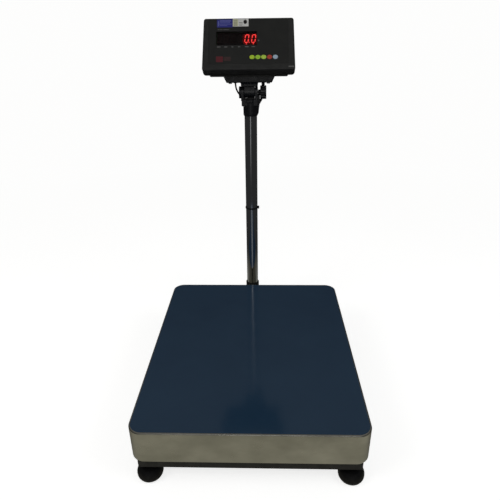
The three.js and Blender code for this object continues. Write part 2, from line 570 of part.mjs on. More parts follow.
// Everything ahead of a plane parallel to the joint plane, as an outline seen from the side.
function aheadOf(behind) {
  const corners = [[-60, behind], [FACE.height + 60, behind], [FACE.height + 60, -60], [-60, -60]];
  return new THREE.Shape(corners.map(([up, depth]) => new THREE.Vector2(...behindFace(up, depth))));
}

// A wedge behind the front housing: flat underneath and upright at the back. Its flange closes the front housing.
function addRearHousing(parent) {
  const outline = (inset) => [
    [behindFace(0, -REAR.ahead)[0] + inset, REAR.low + inset],
    [REAR.back - inset, REAR.low + inset],
    [REAR.back - inset, REAR.high - inset * 0.6],
    behindFace(REAR.upperEnd - inset, -REAR.ahead),
    behindFace(inset, -REAR.ahead),
  ];
  const turn = (geometry) => geometry.rotateZ(Math.PI / 2).rotateY(Math.PI / 2)
    .translate(HEAD_X - REAR.width / 2, 0, 0);
  const past = [-1, REAR.width + 1];
  const wedge = softPrism(roundedPolygon(outline(0), REAR.corner), 0, REAR.width, REAR.edge, 3, 2);
  const core = roundedPolygon(outline(REAR.wall), REAR.corner - REAR.wall);
  const inside = prism(core, REAR.wall, REAR.width - REAR.wall, 3);
  const hollow = cut(turn(inside), turn(prism(aheadOf(GAP + REAR.wall), ...past)));
  const joint = -FACE.depth - GAP;
  const flange = onFace(prism(faceOutline(0), joint - REAR.wall, joint, 4));
  const { width, low, high, corner } = REAR_OPENING;
  const opening = onFace(prism(roundedBox(width, high - low, corner, 0, (low + high) / 2), joint - 10, joint + 1, 3));
  const frontPart = turn(prism(aheadOf(GAP), ...past));
  const screwHoles = [-1, 1].map((side) => rod('z', PLATE_SCREW.radius + GAP, REAR.low - 1, REAR.low + REAR.wall + 1,
    [HEAD_X + side * PLATE_SCREW.spread, PLATE_SCREW.y, 0], 12));
  const shell = join(cut(turn(wedge), frontPart), flange);
  place(parent, 'rear_housing', cut(shell, hollow, opening, ...screwHoles), HOUSING);
}

// ---- cables -------------------------------------------------------------------------------------------------
// From the load cell through the base beam, the bracket and the column, then out of the collar to the indicator.
const SIGNAL_ROUTE = [
  [COLUMN.x, 75 + GAP, 92], [COLUMN.x, 88, 91], [COLUMN.x, 103, 83], [COLUMN.x, 115, 70], [COLUMN.x, 130, 58],
  [COLUMN.x, 150, 54], [COLUMN.x, 200, 54], [COLUMN.x, 260, 54], [COLUMN.x, 335, 53], [COLUMN.x, 354, 53.6],
  [COLUMN.x, 365.5, 60], [COLUMN.x, 371.5, 74], [COLUMN.x, 373, 98], [COLUMN.x, 373, 250], [COLUMN.x, 373, 450],
  [COLUMN.x, 373, 640], [COLUMN.x, 373, 674], [COLUMN.x, 376, 688], [COLUMN.x, 385, 695.4], [COLUMN.x, 396, 696.2],
  [-12, 405, 697.5], [-24, 408, 702], [-35, 406, 709.5], [-43, 404, 719], [-48, 403, 730],
  [SIGNAL.glandX, 403, SIGNAL.glandLow - GAP],
];

// From the indicator down behind the column, tied to it half way, to the coil on the floor behind the pan.
const LEAD_ROUTE = [
  [MAINS.glandX, GLAND_Y, MAINS.bootLow - GAP], [27.4, 404, 715], [23, 405, 701], [15, 406, 687], [7, 406, 672],
  [0.5, 404.5, 654], [-4, 401.5, 632], [-6.6, 397.8, 604], [-7, 395, 572], [-7, 394.6, 530], [-7, 394.6, 480],
  [-7, 394.6, 430], [-7, 394.6, TIE.z], [-7, 394.6, 330], [-7, 394.8, 270], [-7, 396, 215], [-7, 398.5, 165],
  [-7, 400, 120], [-6, 401, 80], [-3, 402, 50], [4, 402.5, 27], [15, 401.5, 11.5], [28, 398.5, 4.8],
  [39, 395.6, 3.5], [49.4, PLUG.y, 3.4],
];

function addSignalCable(parent) {
  place(parent, 'signal_cable', cable(SIGNAL_ROUTE, SIGNAL.radius, 60), CABLE);
}

function addGlands(parent) {
  const signal = turned([
    [0, SIGNAL.glandLow], [5, SIGNAL.glandLow], [7.5, SIGNAL.glandLow + 6], [9, SIGNAL.glandLow + 7],
    [9, REAR.low], [0, REAR.low],
  ], 16);
  place(parent, 'signal_gland', signal.translate(SIGNAL.glandX, GLAND_Y, 0), HINGE_PLASTIC);
  const relief = turned([
    [0, MAINS.bootLow], [MAINS.radius + 1, MAINS.bootLow], [5.6, MAINS.nutLow], [8.5, MAINS.nutLow],
    [8.5, REAR.low], [0, REAR.low],
  ], 16);
  place(parent, 'mains_strain_relief', relief.translate(MAINS.glandX, GLAND_Y, 0), HINGE_PLASTIC);
}

function addMainsLead(parent) {
  place(parent, 'mains_lead', cable(LEAD_ROUTE, MAINS.radius, 54), CABLE);
  const { x, y, inner, outer, height } = COIL;
  const ring = [[inner, 1], [inner + 2, 0], [outer - 2, 0], [outer, 1], [outer, height - 2], [outer - 2, height],
    [inner + 2, height], [inner, height - 2], [inner, 1]];
  place(parent, 'mains_lead_coil', turned(ring, 36).translate(x, y, 0), CABLE);
}

// A flat two-pin plug with a tapered boot, lying on the floor beside the coil.
function addPlug(parent) {
  const centre = [0, PLUG.y, PLUG.z];
  const boot = new THREE.CylinderGeometry(6.5, 4.4, PLUG.bootHigh - PLUG.low + 1, 16).rotateZ(-Math.PI / 2);
  boot.translate((PLUG.low + PLUG.bootHigh + 1) / 2, PLUG.y, PLUG.z);
  const body = softPrism(roundedBox(26, 19, 6), PLUG.bootHigh, PLUG.high, 2, 3, 2).rotateY(Math.PI / 2);
  body.rotateX(Math.PI / 2).translate(0, PLUG.y, PLUG.z);
  const pins = [-1, 1].map((side) =>
    rod('x', 2, PLUG.high - 1, PLUG.pinHigh, [0, centre[1] + side * PLUG.pinSpread, centre[2]], 12));
  place(parent, 'mains_plug', join(boot, body, ...pins), CABLE);
}

// The outline of a band around the column and the lead behind it.
function bandOutline(margin) {
  const [large, small] = [COLUMN.radius + margin, MAINS.radius + margin];
  const lean = Math.asin((large - small) / TIE.leadY);
  const band = new THREE.Shape();
  band.absarc(0, 0, large, Math.PI - lean, Math.PI * 2 + lean, false);
  band.absarc(0, TIE.leadY, small, lean, Math.PI - lean, false);
  band.closePath();
  return band;
}

function addCableTie(parent) {
  const { x, y } = COLUMN;
  const [low, high] = [TIE.z - TIE.height / 2, TIE.z + TIE.height / 2];
  const band = cut(prism(bandOutline(GAP + TIE.band), low, high, 12), prism(bandOutline(GAP), low - 1, high + 1, 12));
  const lock = block([COLUMN.radius + GAP + 0.6, COLUMN.radius + 5], [-3, 3], [TIE.z - 4, TIE.z + 4]);
  place(parent, 'cable_tie', join(band, lock).translate(x, y, 0), CABLE);
}

// ---- assembly -----------------------------------------------------------------------------------------------
const scale = new THREE.Group();
scale.position.y = -(WHOLE.front + WHOLE.back) / 2;

addBase(scale);
addBeams(scale);
addLoadCell(scale);
addCellBolts(scale);
addPanPads(scale);
addFeet(scale);
addPan(scale);
addBracket(scale);
addBracketBolts(scale);
addColumn(scale);
addCollar(scale);
addHingeBolt(scale);
addKnob(scale);

const indicator = new THREE.Group();
const face = faceGroup();
addTiltBracket(indicator);
addPlateScrews(indicator);
addFrontHousing(face);
addOverlay(face);
addKeys(face);
addElectronics(face, indicator);
addRearHousing(indicator);
addGlands(indicator);
indicator.add(face);
scale.add(indicator);

addSignalCable(scale);
addMainsLead(scale);
addPlug(scale);
addCableTie(scale);

export default scale;
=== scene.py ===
"""Pallet scale: the looks. Every length is in metres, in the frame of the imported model."""
import json
import math

import bmesh
import bpy
from mathutils import Matrix, Vector


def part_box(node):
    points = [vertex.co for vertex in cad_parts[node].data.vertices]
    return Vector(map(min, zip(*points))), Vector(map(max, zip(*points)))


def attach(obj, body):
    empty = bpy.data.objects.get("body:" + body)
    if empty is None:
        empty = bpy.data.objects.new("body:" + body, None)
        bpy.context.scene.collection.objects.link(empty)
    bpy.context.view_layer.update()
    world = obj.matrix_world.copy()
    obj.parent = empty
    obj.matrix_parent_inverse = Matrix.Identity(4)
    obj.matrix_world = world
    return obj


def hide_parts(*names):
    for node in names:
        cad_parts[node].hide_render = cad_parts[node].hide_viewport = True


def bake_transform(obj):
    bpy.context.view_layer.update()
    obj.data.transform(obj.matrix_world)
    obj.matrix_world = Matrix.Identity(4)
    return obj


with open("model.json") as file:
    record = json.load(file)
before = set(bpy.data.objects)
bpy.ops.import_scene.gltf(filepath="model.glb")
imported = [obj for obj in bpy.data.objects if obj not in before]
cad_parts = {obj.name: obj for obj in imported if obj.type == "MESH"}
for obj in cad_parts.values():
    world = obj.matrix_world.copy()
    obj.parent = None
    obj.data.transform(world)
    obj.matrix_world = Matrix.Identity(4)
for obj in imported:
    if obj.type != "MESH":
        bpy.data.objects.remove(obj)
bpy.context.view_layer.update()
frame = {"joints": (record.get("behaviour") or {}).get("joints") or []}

MM = 0.001

# ---- places taken from the frame ----
PAN_LOW, PAN_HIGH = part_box("weighing_pan")
FILM_LOW, FILM_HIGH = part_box("protective_film")
COLUMN_LOW, COLUMN_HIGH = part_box("column")
COIL_LOW, COIL_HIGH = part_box("mains_lead_coil")
TIE_LOW, TIE_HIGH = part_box("cable_tie")
KNOB_LOW, KNOB_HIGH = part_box("tilt_knob")
BOLT_LOW, BOLT_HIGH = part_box("hinge_bolt")
BRACKET_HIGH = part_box("tilt_bracket")[1]
RELIEF_LOW, RELIEF_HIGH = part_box("mains_strain_relief")
GLAND_LOW, GLAND_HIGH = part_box("signal_gland")
SOCKET_LOW, SOCKET_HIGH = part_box("column_bracket")
COLLAR_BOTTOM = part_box("hinge_collar")[0].z
RAIL_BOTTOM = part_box("base_rail_left")[0].z
REAR_BOTTOM, REAR_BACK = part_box("rear_housing")[0].z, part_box("rear_housing")[1].y

JOINTS = {joint["name"]: joint for joint in frame["joints"]}
HINGE = Vector(JOINTS["head_tilt"]["pos_m"])
PRESS = Vector(JOINTS["key_1_press"]["axis"]).normalized()

PAN_MIDDLE = (PAN_LOW + PAN_HIGH) / 2
COLUMN_X = (COLUMN_LOW.x + COLUMN_HIGH.x) / 2
COLUMN_Y = (COLUMN_LOW.y + COLUMN_HIGH.y) / 2
COLUMN_AXIS = Vector((COLUMN_X, COLUMN_Y, 0))
COLUMN_RADIUS = (COLUMN_HIGH.x - COLUMN_LOW.x) / 2
COLUMN_BORE = COLUMN_RADIUS + 0.3 * MM
COLUMN_INSIDE = COLUMN_RADIUS - 1.5 * MM

# The face's own axes: x right, y up the slope with the chin below zero, z out of the face.
FACE_CORNER = HINGE + Vector((0, -67.5 * MM, 70 * MM))
FACE_UP = Vector((1, 0, 0)).cross(PRESS)
FACE = Matrix.Translation(FACE_CORNER) @ Matrix((Vector((1, 0, 0)), FACE_UP, -PRESS)).transposed().to_4x4()


# ---- node trees ----
class Graph:
    """Short ways to build a node tree."""

    def __init__(self, owner):
        owner.use_nodes = True
        self.nodes, self.links = owner.node_tree.nodes, owner.node_tree.links

    def put(self, node, key, value):
        socket = node.inputs[key]
        if isinstance(value, bpy.types.NodeSocket):
            self.links.new(value, socket)
        else:
            socket.default_value = value

    def node(self, kind, inputs=(), **settings):
        made = self.nodes.new("ShaderNode" + kind)
        for key, value in settings.items():
            setattr(made, key, value)
        for key, value in dict(inputs).items():
            self.put(made, key, value)
        return made

    def math(self, operation, *values):
        return self.node("Math", dict(enumerate(values)), operation=operation).outputs[0]

    def split(self, place):
        return self.node("SeparateXYZ", {0: place}).outputs

    def spread(self, value, low, high, to_low=0.0, to_high=1.0, kind="LINEAR"):
        ends = {"Value": value, "From Min": low, "From Max": high, "To Min": to_low, "To Max": to_high}
        return self.node("MapRange", ends, interpolation_type=kind).outputs["Result"]

    def ramp(self, value, low, high, start, end):
        return self.spread(value, low, high, start, end, "SMOOTHSTEP")

    def light(self, kind, colour, strength=1.0):
        return self.node(kind, {"Color": colour, "Strength": strength}).outputs[0]

    def add(self, first, second):
        return self.node("AddShader", {0: first, 1: second}).outputs[0]

    def choose(self, amount, first, second):
        return self.node("MixShader", {0: amount, 1: first, 2: second}).outputs[0]


# ---- camera and light ----
WHITE, PALE = (1, 1, 1, 1), (0.985, 0.985, 0.98, 1)
DIM = 0.012     # the room's strength where nothing shines


def place_in_scene(thing):
    bpy.context.scene.collection.objects.link(thing)
    return thing


def make_camera():
    """A phone's view from head height, a little right of the middle and turned slightly left."""
    pitch, yaw, roll = math.radians(25.71), math.radians(1.83), math.radians(-0.78)
    forward = Vector((-math.sin(yaw) * math.cos(pitch), math.cos(yaw) * math.cos(pitch), -math.sin(pitch)))
    level = Vector((math.cos(yaw), math.sin(yaw), 0))
    upward = level.cross(forward)
    right = level * math.cos(roll) + upward * math.sin(roll)
    up = upward * math.cos(roll) - level * math.sin(roll)
    data = bpy.data.cameras.new("camera")
    data.lens, data.sensor_width = 33.34, 36
    camera = place_in_scene(bpy.data.objects.new("camera", data))
    place = Vector((0.0286, PAN_MIDDLE.y - 0.9719, PAN_HIGH.z + 0.7338))
    camera.matrix_world = Matrix.Translation(place) @ Matrix((right, up, -forward)).transposed().to_4x4()
    bpy.context.scene.camera = camera


def add_light(name, place, aim, size, watts, colour=(1, 1, 1), glossy=False):
    data = bpy.data.lights.new(name, "AREA")
    data.shape = "RECTANGLE"
    data.size, data.size_y = size
    data.energy, data.color = watts, colour
    light = place_in_scene(bpy.data.objects.new(name, data))
    light.location = place
    light.visible_glossy = glossy
    light.rotation_mode = "QUATERNION"
    light.rotation_quaternion = (Vector(aim) - Vector(place)).to_track_quat("-Z", "Y")


def make_lights():
    """Two soft lights high at the sides that reflections leave out, and a pale doorway far in front."""
    add_light("left_high", (-2.2, -1.4, 2.4), (0, 0, 0.5), (1.4, 1.4), 15, (1, 0.99, 0.96))
    add_light("right_high", (2.3, -1.0, 2.3), (0, 0, 0.5), (1.4, 1.4), 12, (0.97, 0.99, 1))
    add_light("doorway", (-0.1, -4.2, 1.1), (0, 0.3, 0.5), (0.5, 2.2), 2.0, glossy=True)


def make_world():
    """Pale to the camera. Reflections see a dim room with a soft ceiling, a brighter front and a window."""
    world = bpy.context.scene.world = bpy.data.worlds.new("studio")
    graph = Graph(world)
    graph.nodes.clear()
    x, y, z = graph.split(graph.node("TexCoord").outputs["Generated"])
    window = graph.ramp(graph.math("ABSOLUTE", graph.math("SUBTRACT", x, 0.02)), 0.17, 0.05, 0, 1)
    for limit in ((z, 0.30, 0.42, 0, 1), (z, 0.72, 0.62, 0, 1), (y, -0.3, -0.5, 0, 1.3)):
        window = graph.math("MULTIPLY", window, graph.ramp(*limit))
    ceiling, front = graph.ramp(z, 0.31, 0.95, DIM, 0.22), graph.ramp(y, -0.76, -1.0, DIM, 0.34)
    room = graph.light("Background", WHITE, graph.math("ADD", graph.math("ADD", ceiling, front), window))
    to_camera = graph.node("LightPath").outputs["Is Camera Ray"]
    graph.node("OutputWorld", {0: graph.choose(to_camera, room, graph.light("Background", PALE))})


def make_stage():
    """A plain pale floor with soft shadows. Reflections see it lit near the scale and faintly far off."""
    mesh = bpy.data.meshes.new("floor")
    reach = 12
    corners = [(-reach, -reach, 0), (reach, -reach, 0), (reach, reach, 0), (-reach, reach, 0)]
    mesh.from_pydata(corners, [], [(0, 1, 2, 3)])
    floor = place_in_scene(bpy.data.objects.new("floor", mesh))
    material = bpy.data.materials.new("pale_floor")
    graph = Graph(material)
    graph.nodes.clear()
    place = graph.node("TexCoord").outputs["Object"]
    x, y, _ = graph.split(place)
    path = graph.node("LightPath").outputs
    away = graph.node("VectorMath", {0: place}, operation="LENGTH").outputs["Value"]
    diffuse = graph.node("BsdfDiffuse", {"Color": (0.8, 0.8, 0.795, 1)}).outputs[0]
    shaded = graph.add(diffuse, graph.light("Emission", PALE, 0.79))
    pale = graph.choose(graph.ramp(away, 0.6, 2.4, 0, 1), shaded, graph.light("Emission", PALE))
    close = graph.ramp(path["Ray Length"], 0.25, 0.6, 0.36, 0)
    near = graph.math("MULTIPLY", graph.ramp(y, -0.25, -0.40, 0.35, 1), close)
    streak = graph.math("MULTIPLY", graph.math("COMPARE", x, -0.25, 0.33), graph.ramp(y, -0.9, -3.2, 0, 0.32))
    dim = graph.add(graph.light("Emission", WHITE, streak), graph.light("Emission", WHITE, 0.03))
    glossy = graph.add(graph.light("Emission", (1, 0.98, 0.80, 1), near), dim)
    plain = graph.choose(path["Is Camera Ray"], diffuse, pale)
    graph.node("OutputMaterial", {0: graph.choose(path["Is Glossy Ray"], plain, glossy)})
    mesh.materials.append(material)


# ---- materials ----
class Look(Graph):
    """A Principled material and short ways to feed it with procedural detail."""

    def __init__(self, name, colour, roughness, metallic=0.0, **inputs):
        self.material = bpy.data.materials.new(name)
        super().__init__(self.material)
        self.shader = self.nodes["Principled BSDF"]
        self.set("Base Color", (*colour, 1))
        self.set("Roughness", roughness)
        self.set("Metallic", metallic)
        for key, value in inputs.items():
            self.set(key.replace("_", " ").title().replace("Ior", "IOR"), value)
        self.place = self.node("TexCoord").outputs["Object"]

    def set(self, key, value):
        self.put(self.shader, key, value)

    def glow(self, colour, strength):
        self.set("Emission Color", (*colour, 1))
        self.set("Emission Strength", strength)

    def pattern(self, kind, size, stretch, **settings):
        where = self.node("Mapping", {"Vector": self.place, "Scale": stretch}).outputs[0]
        return self.node(kind, {"Vector": where, "Scale": 1 / (size * MM), **settings})

    def noise(self, size, detail, stretch=(1, 1, 1), low=0.3, high=0.7):
        """Noise with features of about one size in millimetres, spread to 0..1."""
        source = self.pattern("TexNoise", size, stretch, Detail=detail, Roughness=0.55)
        return self.spread(source.outputs["Fac"], low, high)

    def cells(self, size, low, high, feature="F1"):
        source = self.pattern("TexVoronoi", size, (1, 1, 1))
        source.feature = feature
        return self.spread(source.outputs["Distance"], low, high)

    def mix(self, amount, first, second):
        made = self.node("Mix", data_type="RGBA")
        for index, value in ((0, amount), (6, first), (7, second)):
            self.put(made, index, value if isinstance(value, (bpy.types.NodeSocket, float)) else (*value, 1))
        return made.outputs[2]

    def bump(self, height, depth):
        """Adds to the surface's relief; depth is in millimetres."""
        inputs = {"Height": height, "Distance": depth * MM, "Strength": 1.0}
        before = self.shader.inputs["Normal"]
        if before.is_linked:
            inputs["Normal"] = before.links[0].from_socket
        self.set("Normal", self.node("Bump", inputs).outputs[0])

    def tint(self, amount, first, second):
        self.set("Base Color", self.mix(amount, first, second))

    def gloss(self, amount, low, high):
        self.set("Roughness", self.spread(amount, 0, 1, low, high))


def scaled(colour, factor, lift=0.0):
    return tuple(min(1, c * factor + lift) for c in colour)


def stainless():
    """Satin sheet: fine brushing along the skirt, soft waves from the pressing, and faint smears."""
    look = Look("stainless_satin", (0.43, 0.42, 0.37), 0.3, 1.0)
    look.tint(look.noise(90, 4, (1, 1, 1.6)), (0.33, 0.32, 0.275), (0.47, 0.455, 0.40))
    look.gloss(look.noise(45, 5), 0.24, 0.4)
    look.bump(look.noise(70, 2, (1, 1, 1.5)), 0.35)
    look.bump(look.noise(0.35, 2, (0.02, 0.02, 1)), 0.004)
    return look.material


def blue_film():
    """Glossy protective film: deep navy, slack waves, faint scuffs and specks of dust."""
    look = Look("blue_protective_film", (0.014, 0.034, 0.062), 0.1, ior=1.5)
    dust = look.noise(1.1, 2, low=0.69, high=0.76)
    base = look.mix(look.noise(160, 3), (0.021, 0.056, 0.110), (0.025, 0.064, 0.122))
    look.tint(look.math("MULTIPLY", dust, 0.25), base, (0.12, 0.15, 0.18))
    look.gloss(look.noise(1.5, 3, (1, 0.06, 1), 0.62, 0.8), 0.11, 0.24)
    look.bump(look.noise(120, 2), 0.25)
    look.bump(look.cells(22, 0.0, 0.16), 0.02)
    look.bump(dust, 0.03)
    return look.material


def painted_steel():
    """Black paint with an orange-peel surface, a little dust and worn spots."""
    look = Look("black_painted_steel", (0.02, 0.02, 0.02), 0.42, specular_ior_level=0.35)
    look.tint(look.noise(30, 6, low=0.55, high=0.8), (0.010, 0.010, 0.010), (0.032, 0.030, 0.027))
    look.gloss(look.noise(12, 4), 0.34, 0.55)
    look.bump(look.noise(1.6, 2), 0.03)
    return look.material


def chrome():
    """Mirror chrome with finger smears and a few pits."""
    look = Look("mirror_chrome", (0.62, 0.635, 0.65), 0.07, 1.0)
    look.gloss(look.noise(25, 5, (1, 1, 0.3), 0.4, 0.75), 0.045, 0.17)
    look.tint(look.cells(9, 0.0, 0.05), (0.3, 0.29, 0.27), (0.62, 0.635, 0.65))
    look.bump(look.noise(60, 2, (1, 1, 0.2)), 0.05)
    return look.material


def moulded_plastic(name, colour, roughness):
    """Moulded plastic: fine spark-eroded grain, uneven sheen and a trace of dust."""
    look = Look(name, colour, roughness, ior=1.5)
    look.tint(look.noise(18, 5, low=0.45, high=0.8), colour, scaled(colour, 1.45, 0.004))
    look.gloss(look.noise(9, 4), roughness - 0.06, roughness + 0.1)
    look.bump(look.cells(0.45, 0.0, 0.8), 0.012)
    look.bump(look.noise(25, 2), 0.05)
    return look.material


def rubber():
    """Black rubber with a fine matt grain and dust towards the floor."""
    look = Look("moulded_rubber", (0.008, 0.008, 0.009), 0.6, specular_ior_level=0.25)
    low = look.spread(look.split(look.place)["Z"], 0.0, 14 * MM, 0.7, 0.0)
    look.tint(look.math("MULTIPLY", low, look.noise(6, 6)), (0.006, 0.006, 0.0065), (0.03, 0.028, 0.025))
    look.gloss(look.noise(8, 4), 0.45, 0.7)
    look.bump(look.noise(0.8, 3), 0.03)
    return look.material


def metal(name, colour, roughness, grain=0.6, stretch=(1, 1, 1)):
    """Machined or plated metal with tool marks and a slight patina."""
    look = Look(name, colour, roughness, 1.0)
    look.tint(look.noise(7, 5, low=0.4, high=0.75), colour, scaled(colour, 0.7))
    look.gloss(look.noise(5, 4), roughness * 0.7, roughness * 1.5)
    look.bump(look.noise(grain, 3, stretch), 0.012)
    return look.material


def circuit_board():
    look = Look("green_circuit_board", (0.02, 0.12, 0.04), 0.4)
    traces = look.cells(4, 0.02, 0.05, "DISTANCE_TO_EDGE")
    look.tint(traces, (0.10, 0.28, 0.09), (0.015, 0.10, 0.035))
    look.bump(traces, 0.03)
    return look.material


def cable_jacket(name, colour):
    """Soft PVC with a faint ripple and a dull bloom."""
    look = Look(name, colour, 0.45)
    look.tint(look.noise(14, 5, low=0.4, high=0.8), colour, scaled(colour, 1.9, 0.004))
    look.gloss(look.noise(6, 4), 0.36, 0.58)
    look.bump(look.noise(1.2, 3), 0.02)
    return look.material


def overlay_skin():
    """Textured polycarbonate film printed black, slightly warm, with a velvet grain and finger marks."""
    look = Look("overlay_black_print", (0.016, 0.0165, 0.015), 0.36, ior=1.55)
    look.tint(look.noise(30, 5, low=0.4, high=0.8), (0.008, 0.0085, 0.0072), (0.014, 0.0145, 0.012))
    look.gloss(look.noise(14, 5), 0.3, 0.46)
    look.bump(look.cells(0.3, 0.0, 0.9), 0.006)
    return look.material


def print_ink(name, colour, roughness=0.4):
    """Screen-printed ink: even, with a few thin places."""
    look = Look(name, colour, roughness)
    look.tint(look.noise(1.6, 4, low=0.2, high=0.5), scaled(colour, 0.7), colour)
    look.bump(look.noise(0.4, 2), 0.004)
    return look.material


def key_cap(name, colour):
    """A translucent silicone key: saturated, with a faint painted glow in its own colour that brightens it,
    and a soft sheen.
    """
    look = Look(name, colour, 0.35, subsurface_weight=0.15, subsurface_scale=1.5 * MM)
    look.tint(look.noise(4, 3), scaled(colour, 0.86), scaled(colour, 1.08))
    # painted glow: a little emission in the key's own colour stands in for light; nothing lights the key from
    # inside
    look.glow(colour, 0.12)
    look.bump(look.noise(0.5, 2), 0.006)
    return look.material


def smoked_window():
    """A thin dark-red acrylic window: mostly see-through, glossy, with hairline scratches."""
    look = Look("smoked_red_window", (0.006, 0.002, 0.002), 0.1, ior=1.49, specular_ior_level=0.2)
    look.set("Alpha", 0.35)
    look.gloss(look.noise(1.2, 3, (1, 0.05, 1), 0.6, 0.8), 0.06, 0.18)
    return look.material


def lit_plastic(name, colour, strength):
    look = Look(name, colour, 0.4)
    look.glow(colour, strength)
    return look.material


def hinge_plastic():
    found = bpy.data.materials.get("glossy_black_moulding")
    return found or moulded_plastic("glossy_black_moulding", (0.010, 0.011, 0.013), 0.3)


# ---- mesh helpers ----
def from_bmesh(name, bm):
    mesh = bpy.data.meshes.new(name)
    bm.to_mesh(mesh)
    bm.free()
    return place_in_scene(bpy.data.objects.new(name, mesh))


def loft(name, rings, closed=False):
    """A skin over rings of points, with flat ends unless it is closed. A ring of one point is a tip."""
    bm = bmesh.new()
    rows = [[bm.verts.new(point) for point in ring] for ring in rings]
    pairs = list(zip(rows, rows[1:])) + ([(rows[-1], rows[0])] if closed else [])
    for low, high in pairs:
        count = max(len(low), len(high))
        for i in range(count):
            j = (i + 1) % count
            corners = [low[i % len(low)], low[j % len(low)], high[j % len(high)], high[i % len(high)]]
            bm.faces.new([v for k, v in enumerate(corners) if v not in corners[:k]])
    for row in () if closed else (rows[0], rows[-1]):
        if len(row) > 2:
            bm.faces.new(row)
    bmesh.ops.recalc_face_normals(bm, faces=bm.faces)
    return from_bmesh(name, bm)


def move(piece, matrix):
    piece.data.transform(matrix)
    piece.data.update()
    return piece


def turns(sides):
    return [2 * math.pi * k / sides for k in range(sides)]


def oval(x, y, wide, tall, z, sides):
    """A ring of points round a middle, by its half sizes."""
    return [Vector((x + wide * math.cos(a), y + tall * math.sin(a), z)) for a in turns(sides)]


def oval_bar(name, width, tall, x, y, low, high, sides=40):
    return loft(name, [oval(x, y, width / 2, tall / 2, z, sides) for z in (low, high)])


def lathe(name, profile, centre, axis="z", sides=64, closed=False):
    """Turns (radius, height) pairs about an axis. Radius 0 at an end is a tip."""
    quarter = math.pi / 2
    tilts = {"x": Matrix.Rotation(quarter, 4, "Y"), "y": Matrix.Rotation(-quarter, 4, "X"), "z": Matrix()}
    rings = [oval(0, 0, r, r, z, sides) if r > 1e-6 else [Vector((0, 0, z))] for r, z in profile]
    return move(loft(name, rings, closed), Matrix.Translation(centre) @ tilts[axis])


def arc(radius, start, end, steps):
    """Offsets round a quarter or any other arc, angles in degrees."""
    bends = (math.radians(start + (end - start) * k / steps) for k in range(steps + 1))
    return [(radius * math.cos(a), radius * math.sin(a)) for a in bends]


def soft_bar(name, radius, low, high, centre, axis, edge, sides=48):
    """A round bar whose end edges are rounded."""
    start = [(radius - edge + x, low + edge + y) for x, y in arc(edge, -90, 0, 4)]
    finish = [(radius - edge + x, high - edge + y) for x, y in arc(edge, 0, 90, 4)]
    return lathe(name, [(0, low), *start, *finish, (0, high)], centre, axis, sides)


def drill(radius, low, high, centre, axis, sides=32):
    """A plain round bar to cut a hole with."""
    return lathe("drill", [(0, low), (radius, low), (radius, high), (0, high)], centre, axis, sides)


def fillet(corners, radius, steps=6):
    """A polygon's points with each corner rounded by an arc."""
    count = len(corners)
    points = []
    for k, corner in enumerate(corners):
        here = Vector(corner)
        before = (Vector(corners[k - 1]) - here).normalized()
        after = (Vector(corners[(k + 1) % count]) - here).normalized()
        half = before.angle(after) / 2
        reach = radius / math.tan(half)
        middle = here + (before + after).normalized() * (radius / math.sin(half))
        first, last = here + before * reach - middle, here + after * reach - middle
        sweep = first.angle_signed(last)
        points += [middle + Matrix.Rotation(-sweep * step / steps, 2) @ first for step in range(steps + 1)]
    return points


def rectangle(width, height, x=0.0, y=0.0):
    w, h = width / 2, height / 2
    return [(x - w, y - h), (x + w, y - h), (x + w, y + h), (x - w, y + h)]


def shrunk(corners, inset):
    """A convex anticlockwise polygon with its sides moved inwards, all alike or each by its own distance."""
    count = len(corners)
    insets = inset if isinstance(inset, list) else [inset] * count
    made = []
    for k in range(count):
        here = Vector(corners[k])
        before = (here - Vector(corners[k - 1])).normalized()
        after = (Vector(corners[(k + 1) % count]) - here).normalized()
        n1, n2 = Vector((-before.y, before.x)), Vector((-after.y, after.x))
        d1, d2, lean = insets[k - 1], insets[k], n1.dot(n2)
        made.append(tuple(here + (n1 * (d1 - lean * d2) + n2 * (d2 - lean * d1)) / (1 - lean * lean)))
    return made


def slab(name, corners, radius, low, high, edge=0.0, steps=6, edge_steps=3, foot_edge=None):
    """A flat plate with a rounded outline and rounded rims, lying in local XY."""
    foot_edge = edge if foot_edge is None else foot_edge

    def ring(inset, z):
        outline = fillet(shrunk(corners, inset), max(radius - inset, 0.05 * MM), steps)
        return [Vector((p.x, p.y, z)) for p in outline]

    rings = []
    for size, height, up in ((foot_edge, low, 1), (edge, high, -1)):
        bends = [math.radians(90 * k / edge_steps) for k in range(edge_steps + 1)] if size else [math.pi / 2]
        rows = [ring(size * (1 - math.sin(a)), height + up * size * (1 - math.cos(a))) for a in bends]
        rings += rows if up > 0 else rows[::-1]
    return loft(name, rings)


def tile(name, width, tall, x, y, radius, low, high, edge=0.0, steps=6, edge_steps=3, foot_edge=None):
    """A flat plate on the face. All its measures are in millimetres."""
    corners = rectangle(width * MM, tall * MM, x * MM, y * MM)
    foot = None if foot_edge is None else foot_edge * MM
    return slab(name, corners, radius * MM, low * MM, high * MM, edge * MM, steps, edge_steps, foot)


def block(name, low, high, edge=0, steps=2):
    """A box with rounded edges."""
    bm = bmesh.new()
    bmesh.ops.create_cube(bm, size=1)
    size, middle = Vector(high) - Vector(low), (Vector(high) + Vector(low)) / 2
    for vert in bm.verts:
        vert.co = Vector((vert.co.x * size.x, vert.co.y * size.y, vert.co.z * size.z)) + middle
    if edge:
        bmesh.ops.bevel(bm, geom=bm.edges[:], offset=edge, segments=steps, affect="EDGES", profile=0.5)
    return from_bmesh(name, bm)


def merge(name, parts):
    """Several closed shapes as one piece."""
    bm = bmesh.new()
    for part in parts:
        bm.from_mesh(part.data)
        bpy.data.objects.remove(part)
    return from_bmesh(name, bm)


def modify(piece, name, kind, **settings):
    modifier = piece.modifiers.new(name, kind)
    for key, value in settings.items():
        setattr(modifier, key, value)
    return piece


